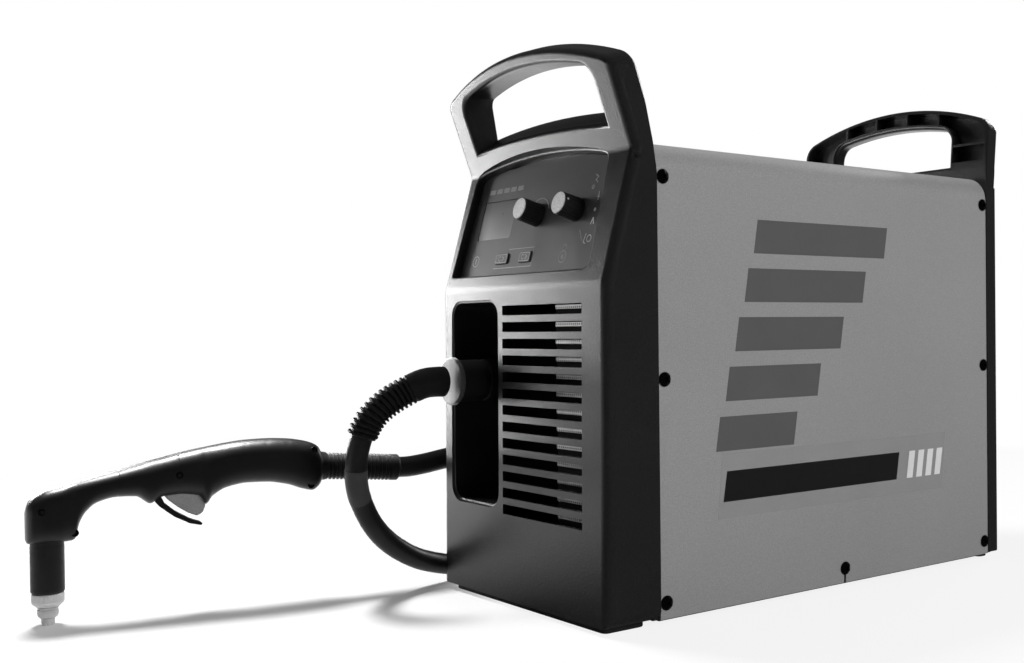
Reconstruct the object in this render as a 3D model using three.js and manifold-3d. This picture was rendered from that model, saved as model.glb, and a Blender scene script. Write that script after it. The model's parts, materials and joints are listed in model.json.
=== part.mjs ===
// Plasma cutter power unit with its hand torch and lead. Millimetres, +Z up, front faces -Y.
// The origin is the middle of the base pan's underside; the feet reach FOOT_DROP below it.
import * as THREE from "three";
import { mergeVertices } from "three/addons/utils/BufferGeometryUtils.js";
import Module from "manifold-3d";

const wasm = await Module();
wasm.setup();

// ---------------------------------------------------------------- driving dimensions
const GAP = 0.3;                    // clearance between touching pieces
const UNIT_WIDTH = 240;             // across the two bezels
const FRONT_Y = -237.9;             // front bezel's lowest front edge
const REAR_Y = 236;                 // rear bezel's outer face
const FOOT_DROP = 4;                // feet below the base pan
const FOOT_ROUND = 5;

const BEZEL_WALL = 4;
const BEZEL_BOTTOM = 1.5;
const EDGE_ROUND = 8;               // rounding of the bezels' side edges
const PANEL_LOW = [-235.5, 254.7];  // (y, z) where the control slope starts
const KINK = [-207.4, 355.2];       // (y, z) where the slope meets the handle face
const HANDLE_LEAN = 0.37;           // forward lean of the front handle face, mm per mm up
const FRONT_SEAM_Y = -187.3;        // front bezel's rear edge
const REAR_SEAM_Y = REAR_Y - 16.8;  // rear bezel's front edge
const REAR_LEAN = 0.1;              // rearward lean of the rear handle
const REAR_KINK_Z = 372;

const HANDLE_TOP = 89.5;            // top of the handle arch above the kink, along its face
const HANDLE_ARCH_R = 314;
const HANDLE_CORNER = 18;
const GRIP_TOP = 78;                // top of the hand opening above the kink
const GRIP_LOW = 24.5;
const GRIP_HALF = UNIT_WIDTH / 2 - 27;
const GRIP_ARCH_R = 330;
const GRIP_CORNER = 16;
const REAR_GRIP_HALF = UNIT_WIDTH / 2 - 45;

const COVER_WIDTH = UNIT_WIDTH - 2;
const COVER_TOP = 362;
const COVER_BOTTOM = 1.6;
const COVER_RADIUS = 22;
const SHEET = 1.5;
const LIP_DEPTH = 17;               // bezel tongue that the cover slides over
const LIP_WALL = 3;
const SCREW_Z = [334.9, 182.4, 14];
const SCREW_INSET = 5.6;            // screw row from the cover's end
const MID_SCREW_Y = 16.9;
const SCREW_HEAD_R = 5.6;
const SCREW_HEAD_H = 2.6;
const SCREW_SHANK_R = 2;

const PAN_SHEET = 2;
const PAN_FLANGE = 24;
const PAN_EDGE = 1.7;               // flange thickness
const FOOT_INSET = 12;

const RECESS_DEPTH = 7;             // control recess, square to the slope
const RECESS_X = -7.9;              // recess middle
const RECESS_HALF_LOW = 99.8;
const RECESS_HALF_TOP = 95.4;
const RECESS_LOW = 12.3;            // along the slope from its lower end
const RECESS_TOP = 104;
const RECESS_ARCH = 9.5;            // rise of the hood edge
const OVERLAY_THICK = 2;
const LEDGE = 5;

const POCKET = { x0: -101.7, x1: -30, z0: 76.5, z1: 244, depth: 62, round: 12 };
const SLOT_COUNT = 13;
const SLOT_X = [-21.7, 89];
const SLOT_PITCH = 13.45;
const SLOT_HEIGHT = 8.1;
const SLOT_FIRST_Z = 71;

const KNOB_R = 9.8;
const KNOB_LENGTH = 19;
const KNOBS = [["adjustment_knob", -3.4], ["mode_knob", 51.7]];
const KNOB_UP = 63;
const BUTTONS = [["left_button", -43.5, 19], ["right_button", -8.5, 17]];
const BUTTON_UP = 28;
const BUTTON_HEIGHT = 9;
const WINDOW = { x: -66, up: 64, w: 51, h: 34 };

const PLUG = { x: -65.5, z: 178.5, r: 15.5, ringR: 20, ringY: -262 };
const LEAD_R = 9;
const RELIEF_R = 12.5;

const TORCH_TIP = [-200.7, -538.9];
const TORCH_TURN = 80;              // degrees from +X towards +Y
const TORCH_SPLIT = 0.15;

// ---------------------------------------------------------------- mesh helpers
function solidOf(geometry) {
  const bare = geometry.clone();
  bare.deleteAttribute("normal");
  bare.deleteAttribute("uv");
  const merged = mergeVertices(bare, 1e-4);
  return new wasm.Manifold(new wasm.Mesh({
    numProp: 3,
    vertProperties: new Float32Array(merged.attributes.position.array),
    triVerts: new Uint32Array(merged.index.array),
  }));
}

function geometryOf(solid) {
  const mesh = solid.getMesh();
  const geometry = new THREE.BufferGeometry();
  geometry.setAttribute("position", new THREE.BufferAttribute(new Float32Array(mesh.vertProperties), 3));
  geometry.setIndex(new THREE.BufferAttribute(new Uint32Array(mesh.triVerts), 1));
  geometry.computeVertexNormals();
  return geometry;
}

const cut = (base, ...tools) => geometryOf(tools.reduce((s, t) => s.subtract(solidOf(t)), solidOf(base)));
const join = (base, ...more) => geometryOf(more.reduce((s, t) => s.add(solidOf(t)), solidOf(base)));
const common = (base, tool) => geometryOf(solidOf(base).intersect(solidOf(tool)));

function box(x0, x1, y0, y1, z0, z1) {
  const geometry = new THREE.BoxGeometry(x1 - x0, y1 - y0, z1 - z0);
  return geometry.translate((x0 + x1) / 2, (y0 + y1) / 2, (z0 + z1) / 2);
}

// A box on each side, between two distances from the middle plane.
const sideBoxes = (x0, x1, ...rest) => [box(-x1, -x0, ...rest), box(x0, x1, ...rest)];

const shapeOf = (points) => new THREE.Shape(points.map(([a, b]) => new THREE.Vector2(a, b)));

// A frame that takes a shape's (a, b, depth) to the three given axes.
const frameOf = (a, b, c) => new THREE.Matrix4().makeBasis(
  new THREE.Vector3(...a), new THREE.Vector3(...b), new THREE.Vector3(...c));

// (y, z) profile drawn out along X, its two ends rounded by `round`.
function alongX(points, x0, x1, round = 0, steps = 3) {
  const geometry = new THREE.ExtrudeGeometry(shapeOf(points), {
    depth: x1 - x0 - 2 * round, bevelEnabled: round > 0, bevelThickness: round,
    bevelSize: round, bevelOffset: -round, bevelSegments: steps, steps: 1, curveSegments: 8,
  });
  return geometry.applyMatrix4(frameOf([0, 1, 0], [0, 0, 1], [1, 0, 0])).translate(x0 + round, 0, 0);
}

// (x, z) outline drawn out along Y.
function alongY(points, y0, y1) {
  const geometry = new THREE.ExtrudeGeometry(shapeOf(points),
    { depth: y1 - y0, bevelEnabled: false, steps: 1 });
  return geometry.applyMatrix4(frameOf([1, 0, 0], [0, 0, 1], [0, -1, 0])).translate(0, y1, 0);
}

function alongZ(points, z0, z1) {
  const geometry = new THREE.ExtrudeGeometry(shapeOf(points),
    { depth: z1 - z0, bevelEnabled: false, steps: 1 });
  return geometry.translate(0, 0, z0);
}

// Round body about an axis: profile of [radius, distance] pairs, closed on the axis.
function lathe(profile, axis, at, segments = 20) {
  const geometry = new THREE.LatheGeometry(profile.map(([r, d]) => new THREE.Vector2(r, d)), segments);
  const turn = new THREE.Quaternion().setFromUnitVectors(
    new THREE.Vector3(0, 1, 0), new THREE.Vector3(...axis).normalize());
  return geometry.applyQuaternion(turn).translate(...at);
}

const rod = (r, length, axis, at, segments = 16) => lathe([[0, 0], [r, 0], [r, length], [0, length]],
  axis, at, segments);

// Closed skin over rings of equal point counts, in order.
function loft(rings) {
  const count = rings[0].length;
  const positions = rings.flat(2);
  const index = [];
  for (let k = 0; k + 1 < rings.length; k++) {
    for (let i = 0; i < count; i++) {
      const j = (i + 1) % count;
      const [a, b, c, d] = [k * count + i, k * count + j, (k + 1) * count + j, (k + 1) * count + i];
      index.push(a, b, c, a, c, d);
    }
  }
  const caps = [[0, -1], [(rings.length - 1) * count, 1]];
  for (const [start, side] of caps) {
    const middle = positions.length / 3;
    const ring = rings[start / count];
    for (let axis = 0; axis < 3; axis++) {
      positions.push(ring.reduce((sum, p) => sum + p[axis], 0) / count);
    }
    for (let i = 0; i < count; i++) {
      const [p, q] = [start + i, start + (i + 1) % count];
      index.push(...(side > 0 ? [middle, p, q] : [middle, q, p]));
    }
  }
  const geometry = new THREE.BufferGeometry();
  geometry.setAttribute("position", new THREE.BufferAttribute(new Float32Array(positions), 3));
  geometry.setIndex(index);
  return geometry;
}

// Part of a curve between two distances along it.
class Stretch extends THREE.Curve {
  constructor(curve, from, to) {
    super();
    this.curve = curve;
    this.from = from / curve.getLength();
    this.to = Math.min(to / curve.getLength(), 1);
  }

  getPoint(t, target = new THREE.Vector3()) {
    return this.curve.getPointAt(this.from + (this.to - this.from) * t, target);
  }
}

// Tube of radius r along the stretch of a smooth route between two distances.
function leadPiece(points, from, to, r, steps, sides = 8) {
  const route = new THREE.CatmullRomCurve3(points.map((p) => new THREE.Vector3(...p)), false,
    "centripetal");
  const ring = Array.from({ length: sides }, (_, i) => {
    const turn = (2 * Math.PI * i) / sides;
    return [r * Math.cos(turn), r * Math.sin(turn)];
  });
  const extrudePath = new Stretch(route, from, to);
  return new THREE.ExtrudeGeometry(shapeOf(ring), { steps, extrudePath, bevelEnabled: false });
}

// Rectangle with round corners, as points.
function roundRect(x0, x1, z0, z1, r, steps = 4) {
  const corners = [[x1 - r, z0 + r, -90], [x1 - r, z1 - r, 0], [x0 + r, z1 - r, 90], [x0 + r, z0 + r, 180]];
  return corners.flatMap(([x, z, start]) => Array.from({ length: steps + 1 }, (_, i) => {
    const turn = ((start + (90 * i) / steps) * Math.PI) / 180;
    return [x + r * Math.cos(turn), z + r * Math.sin(turn)];
  }));
}

// Outline with a shallow arched top (and, for an opening, an arched foot), as points.
function archOutline({ half, low, top, radius, corner, inset, lowRise = 0 }) {
  const drop = (x, rise) => rise - (radius - Math.sqrt(radius * radius - x * x));
  const [h, r] = [half - inset, Math.max(corner - inset, 1)];
  const points = [];
  const arc = (cx, cz, from, to, n, rr) => {
    for (let i = 0; i <= n; i++) {
      const turn = ((from + ((to - from) * i) / n) * Math.PI) / 180;
      points.push([cx + rr * Math.cos(turn), cz + rr * Math.sin(turn)]);
    }
  };
  const shoulder = drop(h - r, top) - inset;
  const foot = low + inset;
  points.push([-h, foot], ...(lowRise ? [[-h / 2, foot + lowRise * 0.75], [0, foot + lowRise],
    [h / 2, foot + lowRise * 0.75]] : []));
  points.push([h, foot]);
  arc(h - r, shoulder - r, 0, 78, 4, r);
  for (const share of [0.6, 0.3, 0, -0.3, -0.6]) {
    const x = share * (h - r);
    points.push([x, drop(x, top) - inset]);
  }
  arc(-h + r, shoulder - r, 102, 180, 4, r);
  return points;
}

const group = new THREE.Group();

const FINISH = {
  moulding: [0x1b1b1c, 0.6, 0], sheet: [0x9b9c9d, 0.45, 0.6], steel: [0x8c8c8c, 0.4, 0.9],
  dark: [0x111111, 0.5, 0.1], rubber: [0x0c0c0c, 0.8, 0], grey: [0x77787a, 0.6, 0],
    light: [0xb9babb, 0.5, 0],
  panel: [0x3a3b3c, 0.5, 0], glass: [0x6d706c, 0.2, 0], copper: [0xb06a38, 0.4, 0.9],
    board: [0x24472e, 0.6, 0],
  red: [0x9d1b16, 0.5, 0], brass: [0xb39a52, 0.35, 0.9], blue: [0x25304a, 0.6, 0],
};

function add(name, geometry, finish, parent = group) {
  const [color, roughness, metalness] = FINISH[finish];
  const mesh = new THREE.Mesh(geometry, new THREE.MeshStandardMaterial({ color, roughness, metalness }));
  mesh.name = name;
  parent.add(mesh);
  return mesh;
}

// ---------------------------------------------------------------- shared places
const half = UNIT_WIDTH / 2;
const inner = half - BEZEL_WALL;                       // inside of the bezels' side walls
const coverHalf = COVER_WIDTH / 2;
const lipOut = coverHalf - SHEET - GAP;                // outside of the bezels' tongues
const lipIn = lipOut - LIP_WALL;
const coverFrontY = FRONT_SEAM_Y + GAP;
const coverRearY = REAR_SEAM_Y - GAP;

// The control slope as a frame: along X, up the slope, and out of it.
const slopeLength = Math.hypot(KINK[0] - PANEL_LOW[0], KINK[1] - PANEL_LOW[1]);
const slopeUp = [0, (KINK[0] - PANEL_LOW[0]) / slopeLength, (KINK[1] - PANEL_LOW[1]) / slopeLength];
const slopeOut = [0, -slopeUp[2], slopeUp[1]];
const slopeFrame = frameOf([1, 0, 0], slopeUp, slopeOut).setPosition(0, PANEL_LOW[0], PANEL_LOW[1]);

// (x, up) outline on the slope drawn from `from` to `to` along the slope's outward normal.
function onSlope(points, from, to) {
  const geometry = new THREE.ExtrudeGeometry(shapeOf(points),
    { depth: to - from, bevelEnabled: false, steps: 1 });
  return geometry.translate(0, 0, from).applyMatrix4(slopeFrame);
}

const slopePoint = (x, up, out) => new THREE.Vector3(x, up, out).applyMatrix4(slopeFrame).toArray();

// A handle face as a frame: along X, up the face, and out of it.
function handleFrame(y, z, lean) {
  const length = Math.hypot(1, lean);
  const sign = Math.sign(y);
  const up = [0, (sign * lean) / length, 1 / length];
  const along = [-sign, 0, 0];
  const out = [0, sign * up[2], -sign * up[1]];
  return frameOf(along, up, out).setPosition(0, y, z);
}

const frontHandle = handleFrame(KINK[0], KINK[1], HANDLE_LEAN);
const rearHandle = handleFrame(REAR_Y, REAR_KINK_Z, REAR_LEAN);

// Rings of an outline at several depths behind a handle face, each with its own inset.
function handlePrism(frame, outline, rings) {
  return loft(rings.map(([depth, inset]) => archOutline({ ...outline, inset }).map(
    ([x, up]) => new THREE.Vector3(x, up, depth).applyMatrix4(frame).toArray())));
}

const OUTER = { half: half + 12, low: -60, top: HANDLE_TOP, radius: HANDLE_ARCH_R, corner: HANDLE_CORNER };
const outerArch = { ...OUTER, half: half + 0.5 };
const gripOpening = { half: GRIP_HALF, low: GRIP_LOW - 4.3, top: GRIP_TOP, radius: GRIP_ARCH_R,
  corner: GRIP_CORNER, lowRise: 4.3 };

// Cover-shaped outline (open below) at an inset from the cover's outer face.
function coverSection(inset) {
  const [h, top, r] = [coverHalf - inset, COVER_TOP - inset, Math.max(COVER_RADIUS - inset, 2)];
  return [[h, COVER_BOTTOM], ...roundRect(-h, h, top - 4 * r, top, r, 5).slice(6, 18), [-h, COVER_BOTTOM]];
}

const shellSection = (outerInset, innerInset) => {
  const innerRing = coverSection(innerInset).reverse();
  return [...coverSection(outerInset), ...innerRing];
};

const SCREWS = [-1, 1].flatMap((side) => [
  ...SCREW_Z.map((z) => [side, coverFrontY + SCREW_INSET, z]),
  ...SCREW_Z.map((z) => [side, coverRearY - SCREW_INSET, z]),
  [side, MID_SCREW_Y, SCREW_Z[2]],
]);

const screwHole = ([side, y, z]) => rod(SCREW_SHANK_R + GAP, 20, [side, 0, 0],
  [side * (coverHalf - 15), y, z], 8);

// ---------------------------------------------------------------- front bezel
function frontOuterProfile() {
  const reach = 95;
  return [
    [FRONT_Y, BEZEL_BOTTOM], [FRONT_SEAM_Y + 12, BEZEL_BOTTOM], [FRONT_SEAM_Y + 12, 360],
    [-196, 450], [KINK[0] - HANDLE_LEAN * reach, KINK[1] + reach], KINK, PANEL_LOW,
  ];
}

function frontBezel() {
  const trim = [[-260, -10], [FRONT_SEAM_Y, -10], [FRONT_SEAM_Y, 337], [-190.8, 360], [-197, 386],
    [-201.9, 409], [-210.6, 450], [-260, 450]];
  let body = common(alongX(frontOuterProfile(), -half, half, EDGE_ROUND),
    alongX(trim, -half - 1, half + 1));

  // The part above the kink is trimmed to the handle arch, whose edges are rounded front and back.
  const arch = handlePrism(frontHandle, outerArch, [[-40, 7], [-24, 5], [-19, 0.5], [-6, 0], [-2, 1.5],
    [0, 4.5], [12, 4.5]]);
  const above = box(-half - 1, half + 1, -260, -180, KINK[1] - 8, 460);
  const rounded = solidOf(body).intersect(solidOf(above)).intersect(solidOf(arch));
  body = geometryOf(solidOf(body).subtract(solidOf(above)).add(rounded));

  // Main hollow, open to the rear.
  const wall = BEZEL_WALL;
  const hollow = [[FRONT_Y + wall, BEZEL_BOTTOM + wall], [-160, BEZEL_BOTTOM + wall], [-160, 346],
    [KINK[0] + wall + 3, 346], [PANEL_LOW[0] + wall, PANEL_LOW[1]]];
  const grip = handlePrism(frontHandle, gripOpening, [[-60, -5], [-20, -3], [-16, 0], [-5, 0],
    [-1.5, -1.5], [0, -4], [14, -4]]);
  body = cut(body, alongX(hollow, -inner, inner), grip);

  // Control recess: a tray let into the slope, with a window behind the overlay.
  const tray = onSlope(recessOutline(-3.5), -RECESS_DEPTH - OVERLAY_THICK - 3, -1);
  const trayBounds = box(-inner - 1, inner + 1, -300, -120, 200, 352);
  const mouth = onSlope(recessOutline(0), -RECESS_DEPTH - OVERLAY_THICK, 30);
  const window = onSlope(recessOutline(LEDGE), -40, 5);
  body = cut(join(body, common(tray, trayBounds)), mouth, window);

  // Connector pocket: a tunnel behind its opening, its lip rounded.
  const tunnel = (grow, y0, y1) => alongY(roundRect(POCKET.x0 - grow, POCKET.x1 + grow,
    POCKET.z0 - grow, POCKET.z1 + grow, POCKET.round + grow), y0, y1);
  body = cut(join(body, tunnel(3, FRONT_Y + 3, FRONT_Y + POCKET.depth)), tunnel(0, -260, -150));

  for (let i = 0; i < SLOT_COUNT; i++) {
    const z = SLOT_FIRST_Z + i * SLOT_PITCH;
    body = cut(body, box(SLOT_X[0], SLOT_X[1], -260, -225, z, z + SLOT_HEIGHT));
  }

  // Tongue under the cover, with its screw holes.
  const tongue = alongY(shellSection(SHEET + GAP, SHEET + GAP + LIP_WALL), FRONT_SEAM_Y - 6,
    FRONT_SEAM_Y + LIP_DEPTH);
  const tongueLow = box(-half, half, -260, -100, 0, COVER_BOTTOM + PAN_FLANGE + 4);
  const kept = SCREWS.filter(([, y]) => y < -100).map(screwHole);
  const lowTongues = sideBoxes(lipIn, lipOut, FRONT_SEAM_Y - 6, FRONT_SEAM_Y + LIP_DEPTH, PAN_SHEET + 1,
    40);
  body = join(body, cut(tongue, tongueLow), ...lowTongues);
  return cut(body, ...kept);
}

// Recess outline on the slope, grown by -inset; its top edge is the arched hood.
function recessOutline(inset) {
  const [low, top] = [RECESS_HALF_LOW - inset, RECESS_HALF_TOP - inset];
  const points = [];
  const corner = (cx, cz, from, r) => {
    for (let i = 0; i <= 3; i++) {
      const turn = ((from + 30 * i) * Math.PI) / 180;
      points.push([RECESS_X + cx + r * Math.cos(turn), cz + r * Math.sin(turn)]);
    }
  };
  const r = 7;
  corner(-low + 2, RECESS_LOW + inset + 2, 180, 2);
  corner(low - r, RECESS_LOW + inset + r, 270, r);
  corner(top - r, RECESS_TOP - inset - r, 0, r);
  for (const share of [0.6, 0.3, 0, -0.3, -0.6]) {
    points.push([RECESS_X + share * top, RECESS_TOP - inset + RECESS_ARCH * (1 - share * share) - 0.5]);
  }
  corner(-top + r, RECESS_TOP - inset - r, 90, r);
  return points;
}

// ---------------------------------------------------------------- rear bezel
function rearBezel() {
  const reach = 80;
  const lean = REAR_LEAN;
  const profile = [
    [REAR_SEAM_Y - 12, BEZEL_BOTTOM], [REAR_Y, BEZEL_BOTTOM], [REAR_Y, REAR_KINK_Z],
    [REAR_Y + lean * reach, REAR_KINK_Z + reach], [REAR_SEAM_Y - 8, REAR_KINK_Z + reach],
  ];
  const beyond = REAR_Y + 44;
  const trim = [[REAR_SEAM_Y, -10], [beyond, -10], [beyond, 460], [REAR_SEAM_Y + lean * reach, 460],
    [REAR_SEAM_Y, REAR_KINK_Z]];
  let body = common(alongX(profile, -half, half, EDGE_ROUND - 3), alongX(trim, -half - 1, half + 1));
  const top = HANDLE_TOP * 0.94 + KINK[1] - REAR_KINK_Z;
  const arch = handlePrism(rearHandle, { ...outerArch, top },
    [[-40, 4], [-17, 4], [-13, 0], [-6, 0], [-2, 1.5], [0, 4.5], [12, 4.5]]);
  const above = box(-half - 1, half + 1, REAR_SEAM_Y - 39, beyond, 352, 470);
  const rounded = solidOf(body).intersect(solidOf(above)).intersect(solidOf(arch));
  body = geometryOf(solidOf(body).subtract(solidOf(above)).add(rounded));

  const wall = BEZEL_WALL;
  const hollow = box(-inner, inner, REAR_SEAM_Y - 19, REAR_Y - wall, BEZEL_BOTTOM + wall, COVER_TOP - 14);
  const rearGrip = { half: REAR_GRIP_HALF, low: 3, top: top - 20, radius: GRIP_ARCH_R, corner: 14,
    lowRise: 0 };
  const grip = handlePrism(rearHandle, rearGrip, [[-60, -4], [-15, -2], [-12, 0], [-5, 0], [-1.5, -1.5],
    [0, -4], [14, -4]]);
  body = cut(body, hollow, grip);

  // Handle channel open towards the cover, split into cells by ribs.
  const channel = handlePrism(rearHandle, { ...outerArch, top, half, low: 2 }, [[-40, 4], [-4, 4]]);
  const core = handlePrism(rearHandle, { ...rearGrip, low: -2 }, [[-60, -4.5], [10, -4.5]]);
  let cells = solidOf(channel).subtract(solidOf(core));
  for (const x of [-60, -20, 20, 60]) cells = cells.subtract(solidOf(box(x - 1.2, x + 1.2,
    REAR_SEAM_Y - 39, beyond, 380, 470)));
  for (const s of [-1, 1]) cells = cells.subtract(solidOf(box(s * 100 - 25, s * 100 + 25,
    REAR_SEAM_Y - 39, beyond, 395, 397.4)));
  body = geometryOf(solidOf(body).subtract(cells));

  for (let i = 0; i < FAN_SLOTS; i++) {
    const z = FAN.z - FAN.size / 2 + 8 + i * 12;
    body = cut(body, box(FAN.x - FAN.size / 2 + 6, FAN.x + FAN.size / 2 - 6, REAR_Y - 11, REAR_Y + 9, z,
      z + 6));
  }
  body = cut(body, rod(GLAND.hole, 30, [0, 1, 0], [GLAND.x, REAR_Y - 16, GLAND.z], 16),
    rod(SWITCH.hole, 30, [0, 1, 0], [SWITCH.x, REAR_Y - 16, SWITCH.z], 16),
      rod(INLET.hole, 30, [0, 1, 0], [INLET.x, REAR_Y - 16, INLET.z], 16));

  const tongue = alongY(shellSection(SHEET + GAP, SHEET + GAP + LIP_WALL), REAR_SEAM_Y - LIP_DEPTH,
    REAR_SEAM_Y + 6);
  const tongueLow = box(-half, half, REAR_SEAM_Y - 119, REAR_Y + 24, 0, COVER_BOTTOM + PAN_FLANGE + 4);
  const lowTongues = sideBoxes(lipIn, lipOut, REAR_SEAM_Y - LIP_DEPTH, REAR_SEAM_Y + 6, PAN_SHEET + 1, 40);
  body = join(body, cut(tongue, tongueLow), ...lowTongues);
  return cut(body, ...SCREWS.filter(([, y]) => y > 100).map(screwHole));
}

const FAN = { x: -40, z: 150, size: 120, depth: 38 };
const FAN_SLOTS = 9;
const GLAND = { x: 70, z: 300, hole: 13 };
const SWITCH = { x: -55, z: 300, hole: 9 };
const INLET = { x: 75, z: 90, hole: 8 };

// ---------------------------------------------------------------- cover, pan and feet
function cover() {
  const slit = [-1, 1].map((s) => box(s * coverHalf - 4, s * coverHalf + 4, MID_SCREW_Y - 1.2,
    MID_SCREW_Y + 1.2, -5, SCREW_Z[2]));
  return cut(alongY(shellSection(0, SHEET), coverFrontY, coverRearY), ...SCREWS.map(screwHole), ...slit);
}

function basePan() {
  const panHalf = inner - GAP;
  const flangeOut = lipIn - 0.5;
  const y0 = FRONT_Y + BEZEL_WALL + GAP + 0.2;
  const y1 = REAR_Y - BEZEL_WALL - GAP;
  const z1 = BEZEL_BOTTOM + BEZEL_WALL;
  const tray = join(
    box(-panHalf, panHalf, FRONT_SEAM_Y + 1, REAR_SEAM_Y - 1, 0, PAN_SHEET),
    ...sideBoxes(flangeOut - PAN_EDGE, flangeOut, FRONT_SEAM_Y + 1, REAR_SEAM_Y - 1, 0, PAN_FLANGE),
    box(-panHalf + 3, panHalf - 3, y0, FRONT_SEAM_Y + 2, z1 + GAP, z1 + GAP + PAN_SHEET),
    box(-panHalf + 3, panHalf - 3, REAR_SEAM_Y - 2, y1, z1 + GAP, z1 + GAP + PAN_SHEET),
    box(-panHalf + 3, panHalf - 3, FRONT_SEAM_Y + 1, FRONT_SEAM_Y + 2.5, 0, z1 + GAP + PAN_SHEET),
    box(-panHalf + 3, panHalf - 3, REAR_SEAM_Y - 2.5, REAR_SEAM_Y - 1, 0, z1 + GAP + PAN_SHEET),
  );
  return cut(tray, ...SCREWS.map((s) => rod(SCREW_SHANK_R + GAP, 12, [s[0], 0, 0],
    [s[0] * (coverHalf - 14), s[1], s[2]], 8)));
}

function footStrip(y0, y1) {
  const outline = roundRect(FOOT_INSET - half, half - FOOT_INSET, y0, y1, FOOT_ROUND, 3);
  return alongZ(outline, -FOOT_DROP, BEZEL_BOTTOM - GAP);
}

function screw([side, y, z]) {
  const [r, h] = [SCREW_HEAD_R, SCREW_HEAD_H];
  const profile = [[0, -8], [SCREW_SHANK_R, -8], [SCREW_SHANK_R, GAP], [r, GAP], [r * 0.72, h * 0.8],
    [0, h + GAP]];
  return lathe(profile, [side, 0, 0], [side * coverHalf, y, z], 10);
}

add("front_bezel", frontBezel(), "moulding");
add("rear_bezel", rearBezel(), "moulding");
add("cover", cover(), "sheet");
add("base_pan", basePan(), "dark");
add("front_foot", footStrip(FRONT_Y + 6, -193), "rubber");
add("rear_foot", footStrip(REAR_SEAM_Y + 1, REAR_Y - 2), "rubber");
SCREWS.forEach((place, i) => add(`cover_screw_${String(i + 1).padStart(2, "0")}`, screw(place), "dark"));

// ---------------------------------------------------------------- control panel
function overlay() {
  const out = -RECESS_DEPTH;
  const plate = onSlope(recessOutline(0.4), out - OVERLAY_THICK + GAP, out);
  const holes = [
    ...KNOBS.map(([, x]) => onSlope(roundRect(x - 3.6, x + 3.6, KNOB_UP - 3.6, KNOB_UP + 3.6, 3.6, 3),
      -20, 5)),
    ...BUTTONS.map(([, x, w]) => onSlope(buttonOutline(x, w, GAP), -20, 5)),
    onSlope(windowOutline(GAP), -20, 5),
  ];
  const bounds = box(-inner, inner, -300, -120, 200, KINK[1] + 3);
  return cut(common(plate, bounds), ...holes);
}

const buttonOutline = (x, w, grow) => roundRect(x - w / 2 - grow, x + w / 2 + grow,
  BUTTON_UP - BUTTON_HEIGHT / 2 - grow, BUTTON_UP + BUTTON_HEIGHT / 2 + grow, 1.5, 2);
const windowOutline = (grow) => roundRect(WINDOW.x - WINDOW.w / 2 - grow, WINDOW.x + WINDOW.w / 2 + grow,
  WINDOW.up - WINDOW.h / 2 - grow, WINDOW.up + WINDOW.h / 2 + grow, 2, 2);

const BOARD_OUT = -RECESS_DEPTH - OVERLAY_THICK - 5;   // front of the control board

function knob(x) {
  const start = -RECESS_DEPTH + GAP;
  const stem = start - BOARD_OUT;
  const profile = [[0, -stem + GAP], [3, -stem + GAP], [3, 0], [KNOB_R, 0], [KNOB_R, 2],
    [KNOB_R - 1, KNOB_LENGTH - 1.5],
    [KNOB_R - 2.2, KNOB_LENGTH], [0, KNOB_LENGTH]];
  return lathe(profile, slopeOut, slopePoint(x, KNOB_UP, start), 20);
}

add("control_overlay", overlay(), "panel");
add("display_window", onSlope(windowOutline(0), BOARD_OUT + GAP, -RECESS_DEPTH - 0.3), "glass");
for (const [name, x] of KNOBS) add(name, knob(x), "dark");
for (const [name, x, w] of BUTTONS) {
  add(name, onSlope(buttonOutline(x, w, 0), BOARD_OUT + 2, -RECESS_DEPTH + 1.2), "panel");
}
add("control_board", common(onSlope(recessOutline(LEDGE + 1), BOARD_OUT - 1.6, BOARD_OUT),
  box(-inner, inner, -300, -120, 200, KINK[1] - 8)), "board");

// ---------------------------------------------------------------- vents and connectors
const pocketBack = FRONT_Y + POCKET.depth + GAP;
function connectorPanel() {
  const plate = box(POCKET.x0 - 9, 14, pocketBack, pocketBack + 2, PAN_SHEET + GAP, POCKET.z1 + 12);
  return cut(plate, rod(PLUG.r + 3 + GAP, 20, [0, 1, 0], [PLUG.x, pocketBack - 9, PLUG.z], 20),
    rod(WORK.r + GAP, 20, [0, 1, 0], [WORK.x, pocketBack - 9, WORK.z], 16),
    rod(LATCH.r + GAP, 20, [0, 1, 0], [LATCH.x, pocketBack - 9, LATCH.z], 12));
}
const WORK = { x: -72, z: 112, r: 13 };
const LATCH = { x: -65.5, z: 214, r: 7 };

function torchSocket() {
  const r = PLUG.r + 3;
  const profile = [[PLUG.r + GAP, -14], [r, -14], [r, 40], [0, 40], [0, 36], [PLUG.r + GAP, 36]];
  return lathe([...profile, profile[0]], [0, 1, 0], [PLUG.x, pocketBack, PLUG.z], 24);
}

function torchPlug() {
  const start = PLUG.ringY - pocketBack;
  const profile = [[0, start - 4], [RELIEF_R + 1, start - 4], [PLUG.ringR - 3, start - 3],
    [PLUG.ringR, start], [PLUG.ringR, start + 9],
    [PLUG.r + 2, start + 11], [PLUG.r + 2, -14 - GAP - 2], [PLUG.r, -14 - GAP - 2], [PLUG.r, 30], [0, 30]];
  return lathe(profile, [0, 1, 0], [PLUG.x, pocketBack, PLUG.z], 24);
}

function workSocket() {
  const r = WORK.r;
  const profile = [[5, -8], [r + 3, -8], [r + 3, -GAP], [r, -GAP], [r, 26], [0, 26], [0, 22], [5, 22]];
  return lathe([...profile, profile[0]], [0, 1, 0], [WORK.x, pocketBack, WORK.z], 20);
}

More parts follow.
